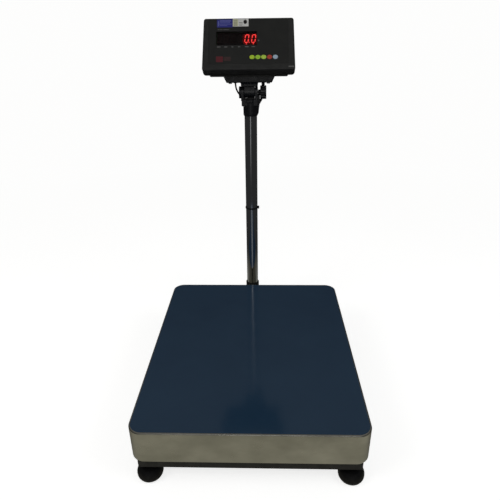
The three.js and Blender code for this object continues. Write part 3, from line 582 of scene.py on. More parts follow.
def bake(piece):
    """Makes what the modifiers show the piece's own mesh."""
    view = bpy.context.evaluated_depsgraph_get()
    mesh = bpy.data.meshes.new_from_object(piece.evaluated_get(view))
    piece.modifiers.clear()
    piece.data = mesh
    return piece


def combine(piece, others, operation):
    """Joins or cuts with exact booleans, one by one, in millimetres so that small edges survive."""
    move(piece, Matrix.Scale(1000, 4))
    for other in others:
        move(other, Matrix.Scale(1000, 4))
        bake(modify(piece, "combine", "BOOLEAN", operation=operation, solver="EXACT", object=other))
        bpy.data.objects.remove(other)
    return move(piece, Matrix.Scale(0.001, 4))


def unite(piece, *others):
    return combine(piece, others, "UNION")


def carve(piece, *others):
    return combine(piece, others, "DIFFERENCE")


def remould(piece, grain, rounds):
    """Gives a moulded part its soft edges: an even skin over the joined shape, then smoothed."""
    modify(piece, "skin", "REMESH", mode="VOXEL", voxel_size=grain)
    return bake(modify(piece, "relax", "SMOOTH", factor=0.5, iterations=rounds))


def dress(piece, material, body=None, replaces=(), angle=35):
    """Gives a piece its material and shading, and puts it on its body."""
    piece.data.materials.clear()
    piece.data.materials.append(material)
    piece.data.shade_smooth()
    piece.data.set_sharp_from_angle(angle=math.radians(angle))
    modify(piece, "normals", "WEIGHTED_NORMAL", keep_sharp=True)
    if body:
        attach(piece, body)
    if replaces:
        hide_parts(*replaces)
    return piece


def on_face(piece, material, replaces=(), angle=35):
    """Takes a piece built in the face's own axes to its place on the indicator."""
    return dress(move(piece, FACE), material, "head", replaces, angle)


def spline(points, per_span):
    """A smooth line through points, by centripetal Catmull-Rom, as many steps in each span."""
    points = [Vector(p) for p in points]
    ends = [points[0] * 2 - points[1], *points, points[-1] * 2 - points[-2]]
    line = []
    for k in range(1, len(ends) - 2):
        p0, p1, p2, p3 = ends[k - 1:k + 3]
        t1 = math.sqrt((p1 - p0).length)
        t2 = t1 + math.sqrt((p2 - p1).length)
        t3 = t2 + math.sqrt((p3 - p2).length)
        for step in range(per_span):
            t = t1 + (t2 - t1) * step / per_span
            a1 = p0.lerp(p1, t / t1)
            a2 = p1.lerp(p2, (t - t1) / (t2 - t1))
            a3 = p2.lerp(p3, (t - t2) / (t3 - t2))
            b1, b2 = a1.lerp(a2, t / t2), a2.lerp(a3, (t - t1) / (t3 - t1))
            line.append(b1.lerp(b2, (t - t1) / (t2 - t1)))
    return [*line, points[-1]]


def line_length(line):
    return sum((b - a).length for a, b in zip(line, line[1:]))


def tube(name, line, radius, sides):
    """A round tube along a line of points, turned without twist. radius is a number or a function of 0..1."""
    side = Vector((1, 0, 0)) if abs((line[1] - line[0]).normalized().x) < 0.9 else Vector((0, 1, 0))
    rings = []
    for k, point in enumerate(line):
        along = (line[min(k + 1, len(line) - 1)] - line[max(k - 1, 0)]).normalized()
        side = (side - along * side.dot(along)).normalized()
        other = along.cross(side)
        size = radius(k / (len(line) - 1)) if callable(radius) else radius
        rings.append([point + (side * math.cos(a) + other * math.sin(a)) * size for a in turns(sides)])
    return loft(name, rings)


# ---- weighing pan ----
PAN_CORNER, PAN_FOLD, PAN_SHEET = 30 * MM, 3 * MM, 1.2 * MM


def make_pan():
    """One pressed sheet: crowned fold, deep skirt, and a hem rolled in along the skirt's lower edge."""
    top, low, fold, sheet = PAN_HIGH.z, PAN_LOW.z, PAN_FOLD, PAN_SHEET
    size = PAN_HIGH - PAN_LOW
    corners = rectangle(size.x, size.y, PAN_MIDDLE.x, PAN_MIDDLE.y)

    def ring(inset, z):
        return [Vector((p.x, p.y, z)) for p in fillet(shrunk(corners, inset), PAN_CORNER - inset, 20)]

    outer = [(0, low + 1.2 * MM), (0, low + 30 * MM), (0, top - fold)]
    outer += [(fold - x, top - fold + z) for x, z in arc(fold, 0, 90, 6)][1:]
    outer += [(fold + 3 * MM, top), (PAN_CORNER - 2 * MM, top)]
    bend = fold - sheet
    inner = [(PAN_CORNER - 2 * MM, top - sheet), (fold + 3 * MM, top - sheet)]
    inner += [(sheet + bend - x, top - sheet - bend + z) for x, z in arc(bend, 90, 0, 4)]
    inner += [(sheet, low + 2.4 * MM)]
    hem = [(2.4 * MM, low + 2.2 * MM), (2.5 * MM, low + 0.9 * MM), (1.6 * MM, low),
           (0.6 * MM, low + 0.15 * MM)]
    pan = loft("pan_shell", [ring(inset, z) for inset, z in inner + hem + outer])
    dress(pan, stainless(), "pan", ["weighing_pan"], 40)


def make_film():
    """The film lies on the pan, with a fine rolled rim all round."""
    size = FILM_HIGH - FILM_LOW
    corners = rectangle(size.x, size.y, PAN_MIDDLE.x, PAN_MIDDLE.y)
    film = slab("film_sheet", corners, PAN_CORNER - 3.5 * MM, FILM_LOW.z, FILM_HIGH.z, 0.06 * MM, 20, 2, 0.0)
    dress(film, blue_film(), "pan", ["protective_film"])


# ---- base, feet and load cell ----
def recoat(node, material, edge=0.0):
    """A better finish and softer edges for a CAD node that keeps its shape."""
    piece = bpy.data.objects[node]
    for slot in piece.material_slots:
        slot.material = material
    if edge:
        modify(piece, "edges", "BEVEL", width=edge, segments=2, limit_method="ANGLE",
               angle_limit=math.radians(32), harden_normals=False)


def finish_base():
    paint = painted_steel()
    for prefix in ("base", "upper"):
        for part in ("rail_left", "rail_right", "rail_front", "rail_rear", "beam"):
            recoat(f"{prefix}_{part}", paint, 1.2 * MM)
    recoat("load_cell", metal("machined_alloy", (0.6, 0.61, 0.62), 0.3, 0.5, (1, 0.05, 1)), 0.4 * MM)
    zinc = metal("zinc_plate", (0.5, 0.51, 0.53), 0.28)
    fasteners = [f"cell_bolt_{end}_{n}" for end in ("lower", "upper") for n in (1, 2)]
    for node in (*fasteners, "bracket_bolt_1", "bracket_bolt_2", "column_lock_screw"):
        recoat(node, zinc, 0.5 * MM)
    pad = rubber()
    for n in range(1, 5):
        recoat(f"pan_pad_{n}", pad, 0.6 * MM)
    for n in range(1, 5):
        make_foot_pad(n, pad)
        make_foot_stud(n, zinc)


def foot_centre(n):
    low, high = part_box(f"foot_pad_{n}")
    return Vector(((low.x + high.x) / 2, (low.y + high.y) / 2, 0))


def make_foot_pad(n, material):
    """A squashed rubber ball with a ribbed sole, a parting line and a collar where the stud goes in."""
    low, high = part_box(f"foot_pad_{n}")
    height, radius, groove = high.z - low.z, (high.x - low.x) / 2, 1.2 * MM
    belly = [(0.72, 0), (0.80, 0.02), (0.90, 0.10), (0.965, 0.22), (0.995, 0.34), (1, 0.42), (1, 0.455),
             (0.988, 0.46), (0.988, 0.475), (0.998, 0.48), (0.99, 0.56), (0.95, 0.68), (0.88, 0.79),
             (0.79, 0.88), (0.68, 0.94), (0.58, 0.965), (0.50, 0.97), (0.49, 1), (0.30, 1), (0.26, 0.97),
             (0.19, 0.97)]
    sole = [(0, groove)]
    for edge in (0.16, 0.32, 0.48):
        sole += [(radius * edge, groove), (radius * (edge + 0.01), 0.0), (radius * (edge + 0.1), 0.0),
                 (radius * (edge + 0.11), groove)]
    profile = sole + [(radius * 0.70, groove)] + [(radius * r, height * z) for r, z in belly]
    profile += [(5.3 * MM, height * 0.9), (5.3 * MM, 8 * MM), (0, 8 * MM)]
    foot = lathe(f"levelling_foot_{n}", profile, foot_centre(n), "z", 72)
    dress(foot, material, f"foot_{n}", [f"foot_pad_{n}"], 50)


def make_foot_stud(n, material):
    """A threaded stud with its lock nut run up to the rail."""
    low, high = (corner.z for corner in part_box(f"foot_stud_{n}"))
    root, crest, pitch = 4.4 * MM, 5.0 * MM, 1.5 * MM
    profile = [(0, low), (root, low)]
    for k in range(int((high - low - 1 * MM) / pitch)):
        z = low + k * pitch
        profile += [(root, z + 0.35 * pitch), (crest, z + 0.55 * pitch), (crest, z + 0.7 * pitch),
                    (root, z + 0.95 * pitch)]
    profile += [(root - 0.5 * MM, high), (0, high)]
    stud = lathe("stud", profile, foot_centre(n), "z", 32)
    across_corners, nut_low, nut_high = 17 / math.sqrt(3) * MM, 33 * MM, RAIL_BOTTOM - 0.3 * MM
    hexagon = [(p.x, p.y) for p in oval(0, 0, across_corners, across_corners, 0, 6)]
    nut = slab("nut", hexagon, 0.5 * MM, nut_low, nut_high, 0.9 * MM, 3, 3)
    unite(stud, move(nut, Matrix.Translation(foot_centre(n))))
    dress(stud, material, f"foot_{n}", [f"foot_stud_{n}"])


# ---- column ----
def make_column():
    radius, low, high, edge = COLUMN_RADIUS, COLUMN_LOW.z, COLUMN_HIGH.z, 0.4 * MM
    profile = [(COLUMN_INSIDE, low), (radius - edge, low), (radius, low + edge), (radius, low + 0.2),
               (radius, high - edge), (radius - edge, high), (COLUMN_INSIDE, high)]
    column = lathe("column_tube", profile, COLUMN_AXIS, "z", 96, True)
    dress(column, chrome(), "base", ["column"])


def weld(line, seed):
    """A weld bead: a tube along a line with regular ripples."""
    radius, ripple, length = 1.9 * MM, 2.2 * MM, line_length(line)

    def thickness(t):
        return radius * (0.86 + 0.14 * math.sin(t * length / ripple * 2 * math.pi + seed))

    return tube("bead", line, thickness, 10)


def make_bracket():
    """The flange, the arm under the skirt and the socket, welded together and painted."""
    face, radius, x, y = SOCKET_LOW.y, SOCKET_HIGH.y - COLUMN_Y, COLUMN_X, COLUMN_Y
    half_plate, half_arm, arm_high, plate_high = (SOCKET_HIGH.x - SOCKET_LOW.x) / 2, 20 * MM, 66 * MM, 70 * MM
    low, high = SOCKET_LOW.z, SOCKET_HIGH.z
    plate = block("column_mount", (x - half_plate, face, low), (x + half_plate, face + 4 * MM, plate_high),
                  1.2 * MM)
    arm = block("arm", (x - half_arm, face + 1 * MM, low), (x + half_arm, y, arm_high), 2 * MM, 3)
    socket = soft_bar("socket", radius, low, high, COLUMN_AXIS, "z", 1.2 * MM, 72)
    bore = drill(COLUMN_BORE, COLUMN_LOW.z - 0.3 * MM, high + 5 * MM, COLUMN_AXIS, "z", 90)
    well = drill(COLUMN_INSIDE, 48 * MM, COLUMN_LOW.z + 1 * MM, COLUMN_AXIS, "z", 48)
    channel = drill(5.5 * MM, -1 * MM, y - face, (x, face, 55 * MM), "y", 32)
    holes = [drill(4.3 * MM, -2 * MM, 8 * MM, (x + side * 32 * MM, face, 59 * MM), "y") for side in (-1, 1)]
    holes.append(drill(4.3 * MM, -radius - 3 * MM, 0, (x, y, 100 * MM), "x"))
    remould(carve(unite(plate, arm, socket), *holes, channel, well, bore), 0.8 * MM, 3)
    paint = bpy.data.materials["black_painted_steel"]
    dress(plate, paint, "base", ["column_bracket"])
    seam = [Vector((x + side * half_arm, face + 4 * MM, z)) for side, z in
            ((-1, low + 1 * MM), (-1, arm_high), (1, arm_high), (1, low + 1 * MM))]
    dense = [a.lerp(b, k / 60) for a, b in zip(seam, seam[1:]) for k in range(60)]
    ridge = radius + 0.2 * MM
    around = [Vector((x + ridge * math.cos(a), y + ridge * math.sin(a), arm_high))
              for a in (math.radians(-160 + 140 * k / 120) for k in range(121))]
    beads = merge("bracket_welds", [weld(dense, 0.0), weld(around, 1.0)])
    dress(beads, paint, "base", angle=60)


# ---- tilt hinge ----
HINGE_BOLT_HOLE = (4.3 * MM, -40 * MM, 40 * MM, HINGE, "x")


def ear(low, high, radius, foot):
    """A hinge ear: a plate with a round top, from the collar's shoulder up round the bolt."""
    outline = [(radius * math.cos(a), radius * math.sin(a)) for a in (math.pi * k / 36 for k in range(37))]
    outline += [(-radius, foot - HINGE.z), (radius, foot - HINGE.z)]
    return loft("ear", [[Vector((x, HINGE.y + u, HINGE.z + v)) for u, v in outline] for x in (low, high)])


def make_collar():
    """The collar on the column: sleeve, shoulder, two ears, a rib on the right and a small ledge in front."""
    x, y, low, high, radius = COLUMN_X, COLUMN_Y, COLLAR_BOTTOM, 706 * MM, 20.5 * MM
    profile = [(0, low), (radius - 2 * MM, low), (radius - 0.6 * MM, low + 1.5 * MM), (radius, low + 5 * MM),
               (radius + 0.3 * MM, high - 14 * MM), (radius + 0.3 * MM, high), (0, high)]
    sleeve = lathe("tilt_collar", profile, COLUMN_AXIS, "z", 96)
    shoulder = block("shoulder", (x - 24.5 * MM, y - 19 * MM, 688 * MM), (x + 21 * MM, y + 19 * MM, high),
                     1.5 * MM)
    ears = [ear(HINGE.x + a * MM, HINGE.x + b * MM, 15.5 * MM, high - 4 * MM)
            for a, b in ((-23.25, -15.25), (15.25, 23.25))]
    rib_outline = [(18, 666), (21.9, 666), (26.3, 699), (26.3, 715.4), (18, 715.4)]
    rib_rings = [[Vector((x + u * MM, y + side, v * MM)) for u, v in rib_outline]
                 for side in (-6 * MM, 6 * MM)]
    rib = loft("rib", rib_rings)
    ledge = block("ledge", (HINGE.x - 9 * MM, y - 23 * MM, 698 * MM),
                  (HINGE.x + 9 * MM, y - 18 * MM, 704.5 * MM), 1 * MM)
    whole = unite(sleeve, shoulder, *ears, rib, ledge)
    bore = drill(COLUMN_BORE, low - 5 * MM, COLUMN_HIGH.z + 0.3 * MM, COLUMN_AXIS, "z", 90)
    well = drill(COLUMN_INSIDE, COLUMN_HIGH.z - 1 * MM, high - 3 * MM, COLUMN_AXIS, "z", 64)
    exit_hole = drill(4 * MM, 0, 30 * MM, (x, y, 696 * MM), "y")
    remould(carve(whole, bore, well, exit_hole, drill(*HINGE_BOLT_HOLE)), 0.5 * MM, 5)
    dress(whole, hinge_plastic(), "base", ["hinge_collar"], 80)


def make_hinge_bolt():
    """A dished cap moulded round the bolt's head, and the bolt's plain shank."""
    face = HINGE.x - 23.55 * MM
    thick, radius, edge = face - BOLT_LOW.x, (BOLT_HIGH.z - BOLT_LOW.z) / 2, 1.4 * MM
    rim = [(radius - edge + a, thick - edge + b) for a, b in arc(edge, 0, 90, 5)]
    profile = [(0, 0), (radius - 0.4 * MM, 0), (radius, 0.4 * MM), *rim]
    profile += [(radius * 0.80, thick), (radius * 0.74, thick - 0.9 * MM), (radius * 0.40, thick - 1.3 * MM),
                (radius * 0.34, thick - 0.5 * MM), (radius * 0.30, thick - 0.2 * MM), (0, thick - 0.2 * MM)]
    cap = lathe("tilt_bolt", profile, (0, 0, 0), "z", 72)
    move(cap, Matrix.Translation((face, HINGE.y, HINGE.z)) @ Matrix.Rotation(-math.pi / 2, 4, "Y"))
    shank = soft_bar("shank", 4 * MM, face - 1 * MM, BOLT_HIGH.x, (0, HINGE.y, HINGE.z), "x", 0.4 * MM, 32)
    unite(cap, shank)
    dress(cap, hinge_plastic(), "base", ["hinge_bolt"])


def make_knob():
    """A hand knob with twelve finger grips, a dished outer face with a centre button, and a short neck."""
    low, high = KNOB_LOW.x - HINGE.x, KNOB_HIGH.x - HINGE.x
    rim_low, outer, edge, deep = 29.6 * MM, 17.85 * MM, 1.6 * MM, 2.1 * MM
    grips, back = 12, high - 6 * MM + 0.3 * MM

    def ring(radius, x, depth=0):
        reach = [(a, radius - depth * max(0.0, math.cos(grips * a)) ** 1.4) for a in turns(grips * 14)]
        return [HINGE + Vector((x, r * math.cos(a), r * math.sin(a))) for a, r in reach]

    rings = [[HINGE + Vector((back, 0, 0))], ring(4.3 * MM, back), ring(4.3 * MM, low), ring(6.6 * MM, low),
             ring(7 * MM, low + 0.5 * MM), ring(7 * MM, rim_low - 1 * MM), ring(8 * MM, rim_low),
             ring(outer - edge - 0.4 * MM, rim_low, deep * 0.8)]
    rings += [ring(outer - edge + a, rim_low + edge + b, deep) for a, b in arc(edge, -70, 0, 4)]
    rings += [ring(outer - edge + a, high - edge + b, deep) for a, b in arc(edge, 0, 80, 5)]
    rings += [ring(outer - edge - 1.5 * MM, high - 0.1 * MM, deep * 0.7),
              ring(outer - 4.6 * MM, high - 0.9 * MM, deep * 0.2)]
    rings += [ring(r * MM, high - d * MM)
              for r, d in ((10, 1.6), (7.2, 1.7), (6.8, 0.9), (6.2, 0.5), (3, 0.25))]
    knob = loft("tilt_hand_knob", [*rings, [HINGE + Vector((high - 0.2 * MM, 0, 0))]])
    dress(knob, hinge_plastic(), "knob", ["tilt_knob"], 50)


def plate_screw_holes(low, high):
    return [drill(2.3 * MM, low, high, (HINGE.x + side * 52 * MM, 306 * MM, 0), "z", 24) for side in (-1, 1)]


def make_tilt_bracket():
    """The indicator's foot: a tapered plate, a flared neck and the barrel between the collar's ears."""
    low, top, front, back, edge = 749.7 * MM, BRACKET_HIGH.z, 352 * MM - 56 * MM, BRACKET_HIGH.y, 2 * MM
    corners = [(-61.5 * MM, low), (61.5 * MM, low), (70.5 * MM, top), (-70.5 * MM, top)]
    rings = []
    for y, inset in ((front, edge), (front + 0.6 * MM, 0.9 * MM), (front + edge, 0), (back - edge, 0),
                     (back - 0.6 * MM, 0.9 * MM), (back, edge)):
        outline = fillet(shrunk(corners, [inset, inset, 0, inset]), 2.5 * MM, 5)
        rings.append([Vector((HINGE.x + p.x, y, p.y)) for p in outline])
    plate = loft("tilt_foot", rings)
    half, depth = 46.5 / 2 * MM, 14 * MM
    neck_rings = []
    for z, grow in ((739.3, -0.8), (740.1, 0), (746, 0), (748.5, 1.2), (750, 3.2), (752, 6.0)):
        outline = fillet(rectangle(2 * (half + grow * MM), 2 * (depth + grow * MM)), 4 * MM, 5)
        neck_rings.append([Vector((HINGE.x + p.x, HINGE.y + p.y, z * MM)) for p in outline])
    neck = loft("neck", neck_rings)
    reach, web_depth = 14.85 * MM, 12 * MM
    web = block("web", (HINGE.x - reach, HINGE.y - web_depth, HINGE.z),
                (HINGE.x + reach, HINGE.y + web_depth, 744 * MM), 0.8 * MM)
    barrel = soft_bar("barrel", 14.5 * MM, -reach, reach, HINGE, "x", 0.6 * MM, 72)
    carve(unite(plate, neck, web, barrel), drill(*HINGE_BOLT_HOLE), *plate_screw_holes(740 * MM, 780 * MM))
    remould(plate, 0.6 * MM, 5)
    dress(plate, hinge_plastic(), "head", ["tilt_bracket"], 80)


# ---- indicator ----
FACE_BOTTOM, FACE_TOP, FACE_HEIGHT, FACE_DEPTH, CHIN = 242 * MM, 234 * MM, 133 * MM, 28 * MM, 8 * MM
FACE_CORNERS = [(-FACE_BOTTOM / 2, -CHIN), (FACE_BOTTOM / 2, -CHIN), (FACE_TOP / 2, FACE_HEIGHT),
                (-FACE_TOP / 2, FACE_HEIGHT)]
WINDOW_BOX = (-84 * MM, 21.6 * MM, 59.6 * MM, 95.6 * MM)
KEY_X = [(9.3 + 15 * k) * MM for k in range(5)]
KEY_Y, KEY_WIDTH, KEY_TALL = 26.4 * MM, 13.4 * MM, 11 * MM
HOUSING_WALL = 2.5 * MM


def face_ring(w, bottom, others, corner):
    outline = fillet(shrunk(FACE_CORNERS, [bottom, others, others, others]), corner, 8)
    return [Vector((p.x, p.y, w)) for p in outline]


def rounding(radius, depth):
    """How far an edge's rounding stands in at a depth below the surface."""
    return radius - math.sqrt(max(0.0, radius ** 2 - (radius - min(depth, radius)) ** 2))


def face_openings(front, back):
    left, right, low, high = WINDOW_BOX
    gap = 0.3 * MM
    frame_box = rectangle(right - left + 2 * gap, high - low + 2 * gap, (left + right) / 2, (low + high) / 2)
    cuts = [slab("window_cut", frame_box, 1.6 * MM, back, front, 0, 4)]
    cuts += [oval_bar("key_cut", KEY_WIDTH + 2 * gap, KEY_TALL + 2 * gap, x, KEY_Y, back, front)
             for x in KEY_X]
    return cuts


def make_front_housing(material):
    """A moulded shell with soft edges and a recess for the overlay."""
    wall, depth = HOUSING_WALL, FACE_DEPTH
    steps = [0, 0.12, 0.35, 0.75, 1.3, 2.1, 3.2, 4.1, 5.0]
    edges = [(d * MM, rounding(5 * MM, d * MM), min(3 + d, 8) * MM) for d in steps]
    rings = [face_ring(-wall, wall + 9 * MM, wall + 1 * MM, 5 * MM),
             face_ring(-wall - 3 * MM, wall + 4 * MM, wall, 5.5 * MM),
             face_ring(-depth, wall, wall, 5.5 * MM),
             face_ring(-depth, 0, 0, 8 * MM), face_ring(-depth + 0.6 * MM, 0, 0, 8 * MM)]
    rings += [face_ring(-d, inset, inset, corner) for d, inset, corner in edges[::-1]]
    shell = loft("indicator_front", rings)
    recess = tile("recess", 208, 119, 0, 68.5, 4, -0.8, 3)
    carve(shell, recess, *face_openings(3 * MM, -wall - 3 * MM))
    on_face(shell, material, ["front_housing"], 30)


def make_overlay():
    """The printed skin, with fine edges and openings for the window and the keys."""
    sheet = tile("face_overlay", 207.4, 118.4, 0, 68.5, 4, -0.5, 0, 0.12, 8, 2, 0.0)
    carve(sheet, *face_openings(1 * MM, -1 * MM))
    on_face(sheet, overlay_skin(), ["front_overlay"], 30)


def make_keys():
    colours = [("key_yellow_green", (0.48, 0.70, 0.04)), ("key_green", (0.40, 0.70, 0.05)),
               ("key_yellow_green", (0.52, 0.72, 0.09)), ("key_red", (0.50, 0.060, 0.035)),
               ("key_pale_blue", (0.42, 0.54, 0.65))]
    low, high = -6 * MM, 1.3 * MM
    rows = [(1.0, low), (1.0, high - 1.0 * MM)]
    rows += [(0.9 + 0.1 * math.cos(a), high - 1.0 * MM + 0.75 * MM * math.sin(a)) for a in
             (math.radians(18 * n) for n in range(1, 5))]
    rows += [(0.8, high - 0.17 * MM), (0.55, high - 0.05 * MM), (0.25, high)]
    for k, (x, (slot_name, colour)) in enumerate(zip(KEY_X, colours), 1):
        rings = [oval(x, KEY_Y, KEY_WIDTH / 2 * s, KEY_TALL / 2 * s, z, 48) for s, z in rows]
        cap = move(loft(f"button_{k}", [*rings, [Vector((x, KEY_Y, high))]]), FACE)
        dress(cap, key_cap(f"silicone_{k}", colour), f"key_{k}_cap", [f"key_{k}"])


def make_rear_housing(material):
    """The back shell: a wedge with a flange, vents, a blank label and sunk screws."""
    low, back, high, half, wall = REAR_BOTTOM, REAR_BACK, 868 * MM, 207 / 2 * MM, HOUSING_WALL
    up, out = FACE.to_3x3() @ Vector((0, 1, 0)), FACE.to_3x3() @ Vector((0, 0, 1))
    joint, x = -FACE_DEPTH - 0.3 * MM, HINGE.x

    def at(height):
        """A point ahead of the joint plane, at a height up the slope."""
        point = FACE_CORNER + up * height - out * (FACE_DEPTH - 18 * MM)
        return (point.y, point.z)

    def wedge(name, inset, corner, reach, edge):
        near, far = at(0), at(127 * MM - inset)
        outline = [(near[0] + inset, low + inset), (back - inset, low + inset),
                   (back - inset, high - inset * 0.6), far, at(inset)]
        rows = []
        for side, more in [(-reach, edge), (-reach + 0.3 * edge, 0.3 * edge), (-reach + edge, 0),
                           (reach - edge, 0), (reach - 0.3 * edge, 0.3 * edge), (reach, edge)]:
            points = fillet(shrunk(outline, more), max(corner - more, 1 * MM), 6)
            rows.append([Vector((x + side, p.x, p.y)) for p in points])
        return loft(name, rows)

    def ahead(limit):
        return move(block("ahead", (-0.2, -0.1, limit), (0.2, 0.3, 0.1)), FACE)

    shell = wedge("indicator_back", 0, 6 * MM, half, 4 * MM)
    carve(shell, ahead(joint))
    flange = slab("flange", shrunk(FACE_CORNERS, 0.1 * MM), 8 * MM, joint - wall, joint, 0, 8, 3, 1.2 * MM)
    unite(shell, move(flange, FACE))
    hollow = wedge("hollow", wall, 4 * MM, half - wall, 1 * MM)
    carve(hollow, ahead(joint - wall))
    opening_box = rectangle(190 * MM, 110 * MM, 0, 63 * MM)
    opening = slab("opening", opening_box, 6 * MM, joint - 10 * MM, joint + 1 * MM)
    carve(shell, hollow, move(opening, FACE), *plate_screw_holes(low - 3 * MM, low + 6 * MM))
    label_recess = block("label_recess", (x - 34 * MM, back - 0.6 * MM, 806 * MM),
                         (x + 34 * MM, back + 2 * MM, 842 * MM))
    vents = [block("vent", (x + (side * 62 - 20) * MM, back - 1.6 * MM, z * MM),
                   (x + (side * 62 + 20) * MM, back + 2 * MM, (z + 2.2) * MM))
             for side in (-1, 1) for z in (812, 818, 824, 830, 836)]
    screws = [(x + side * 90 * MM, back, z * MM) for z in (780, 856) for side in (-1, 1)]
    sunk = [drill(4.2 * MM, -1.4 * MM, 6 * MM, screws[k], "y") for k in (0, 2, 1, 3)]
    carve(shell, label_recess, *vents, *sunk)
    dress(shell, material, "head", ["rear_housing"], 30)
    plate = block("blank_rating_label", (x - 33.4 * MM, back - 0.55 * MM, 806.6 * MM),
                  (x + 33.4 * MM, back - 0.3 * MM, 841.4 * MM))
    dress(plate, print_ink("silver_label", (0.42, 0.43, 0.43), 0.35), "head")
    for n, place in enumerate(screws, 1):
        head = soft_bar(f"back_screw_{n}", 3.4 * MM, -1.35 * MM, -0.25 * MM, place, "y", 0.4 * MM, 32)
        sx, _, sz = place
        cross = [block("cross", (sx - a, back - 0.9 * MM, sz - b), (sx + a, back + 1 * MM, sz + b))
                 for a, b in ((2 * MM, 0.4 * MM), (0.4 * MM, 2 * MM))]
        dress(carve(head, *cross), bpy.data.materials["zinc_plate"], "head")


# ---- display ----
DIGIT_X = [(-76.3 + 17.9 * k) * MM for k in range(6)]
DIGIT_Y, DIGIT_WIDTH, DIGIT_TALL, SEGMENT = 78.6 * MM, 11 * MM, 22.5 * MM, 2.2 * MM
DIGIT_LEAN = math.tan(math.radians(8))
UNITS, TENTHS = 4, 5      # the lit digits' places


def segment_shapes():
    """The seven bars of a digit, as anticlockwise outlines about its middle, lettered the usual way."""
    w, h, s, gap = DIGIT_WIDTH / 2, DIGIT_TALL / 2, SEGMENT / 2, 0.35 * MM
    level = [(-w + s + gap, 0), (-w + 2 * s + gap, -s), (w - 2 * s - gap, -s), (w - s - gap, 0),
             (w - 2 * s - gap, s), (-w + 2 * s + gap, s)]
    upright = [(0, h - s - gap), (-s, h - 2 * s - gap), (-s, 2 * s + gap), (0, s + gap), (s, 2 * s + gap),
               (s, h - 2 * s - gap)]
    shapes = {"a": [(x, y + h - s) for x, y in level], "g": level, "d": [(x, y - h + s) for x, y in level]}
    for key, side, base in (("f", -1, 0), ("b", 1, 0), ("e", -1, -h + s), ("c", 1, -h + s)):
        shapes[key] = [(x + side * (w - s), y + base) for x, y in upright]
    return shapes


def make_display():
    """The display block behind the window, with six slanted digits and a painted red glow round the lit ones.
    The last two read 0.0.
    """
    left, right, low, high = WINDOW_BOX
    middle = ((left + right) / 2, (low + high) / 2)
    inset, face, back = 3 * MM, -4.4 * MM - 0.4 * MM, -12.9 * MM
    foot, crown = face - 0.2 * MM, face + 0.25 * MM
    body = slab("display_block", rectangle(right - left - 2 * inset, high - low - 3 * MM, *middle), 0.8 * MM,
                back, face, 0.3 * MM)
    on_face(body, moulded_plastic("display_mask", (0.008, 0.005, 0.005), 0.5), ["led_display"])
    lit, unlit = [], []
    for place, x in enumerate(DIGIT_X):
        for key, outline in segment_shapes().items():
            rings = [[Vector((x + px + DIGIT_LEAN * py, DIGIT_Y + py, z)) for px, py in outline]
                     for z in (foot, crown)]
            (lit if place >= UNITS and key != "g" else unlit).append(loft("bar", rings))
        dot_x = x + DIGIT_WIDTH / 2 + 1.6 * MM - DIGIT_LEAN * 9 * MM
        dot = oval_bar("dot", 2.4 * MM, 2.4 * MM, dot_x, DIGIT_Y - 10 * MM, foot, crown, 20)
        (lit if place == UNITS else unlit).append(dot)
    lit += [oval_bar("lamp", 3 * MM, 2.2 * MM, DIGIT_X[place] - 1 * MM, 64.6 * MM, foot, crown, 20)
            for place in (UNITS, TENTHS)]
    on_face(merge("lit_segments", lit), lit_plastic("lit_red_segment", (1.0, 0.055, 0.05), 2.7))
    dark = moulded_plastic("unlit_segment", (0.030, 0.014, 0.012), 0.45)
    on_face(merge("dark_segments", unlit), dark)
    # painted glow: a red patch with a faint emission round the lit digits stands in for their light spilling
    # onto the mask
    halo_box = rectangle(40 * MM, 28 * MM, (DIGIT_X[UNITS] + DIGIT_X[TENTHS]) / 2, DIGIT_Y - 1 * MM)
    halo = slab("painted_red_glow_patch", halo_box, 6 * MM, face - 0.15 * MM, face + 0.05 * MM)
    on_face(halo, lit_plastic("red_spill", (0.6, 0.006, 0.005), 0.02))
    pane_box = rectangle(right - left, high - low, *middle)
    pane = slab("display_pane", pane_box, 1.5 * MM, -2.3 * MM, -0.1 * MM, 0.25 * MM)
    on_face(pane, smoked_window(), ["display_window"])


def label(name, width, tall, x, y, material, radius=0.6, low=-0.05, high=0.1):
    on_face(tile(name, width, tall, x, y, radius, low, high, 0, 4), material)


def bars(name, radius, shapes, material, low=-0.05, high=0.08):
    """Small printed bars as one piece, each by its width, height and place."""
    prints = [tile("bar", *shape, radius, low, high) for shape in shapes]
    on_face(merge(name, prints), material)


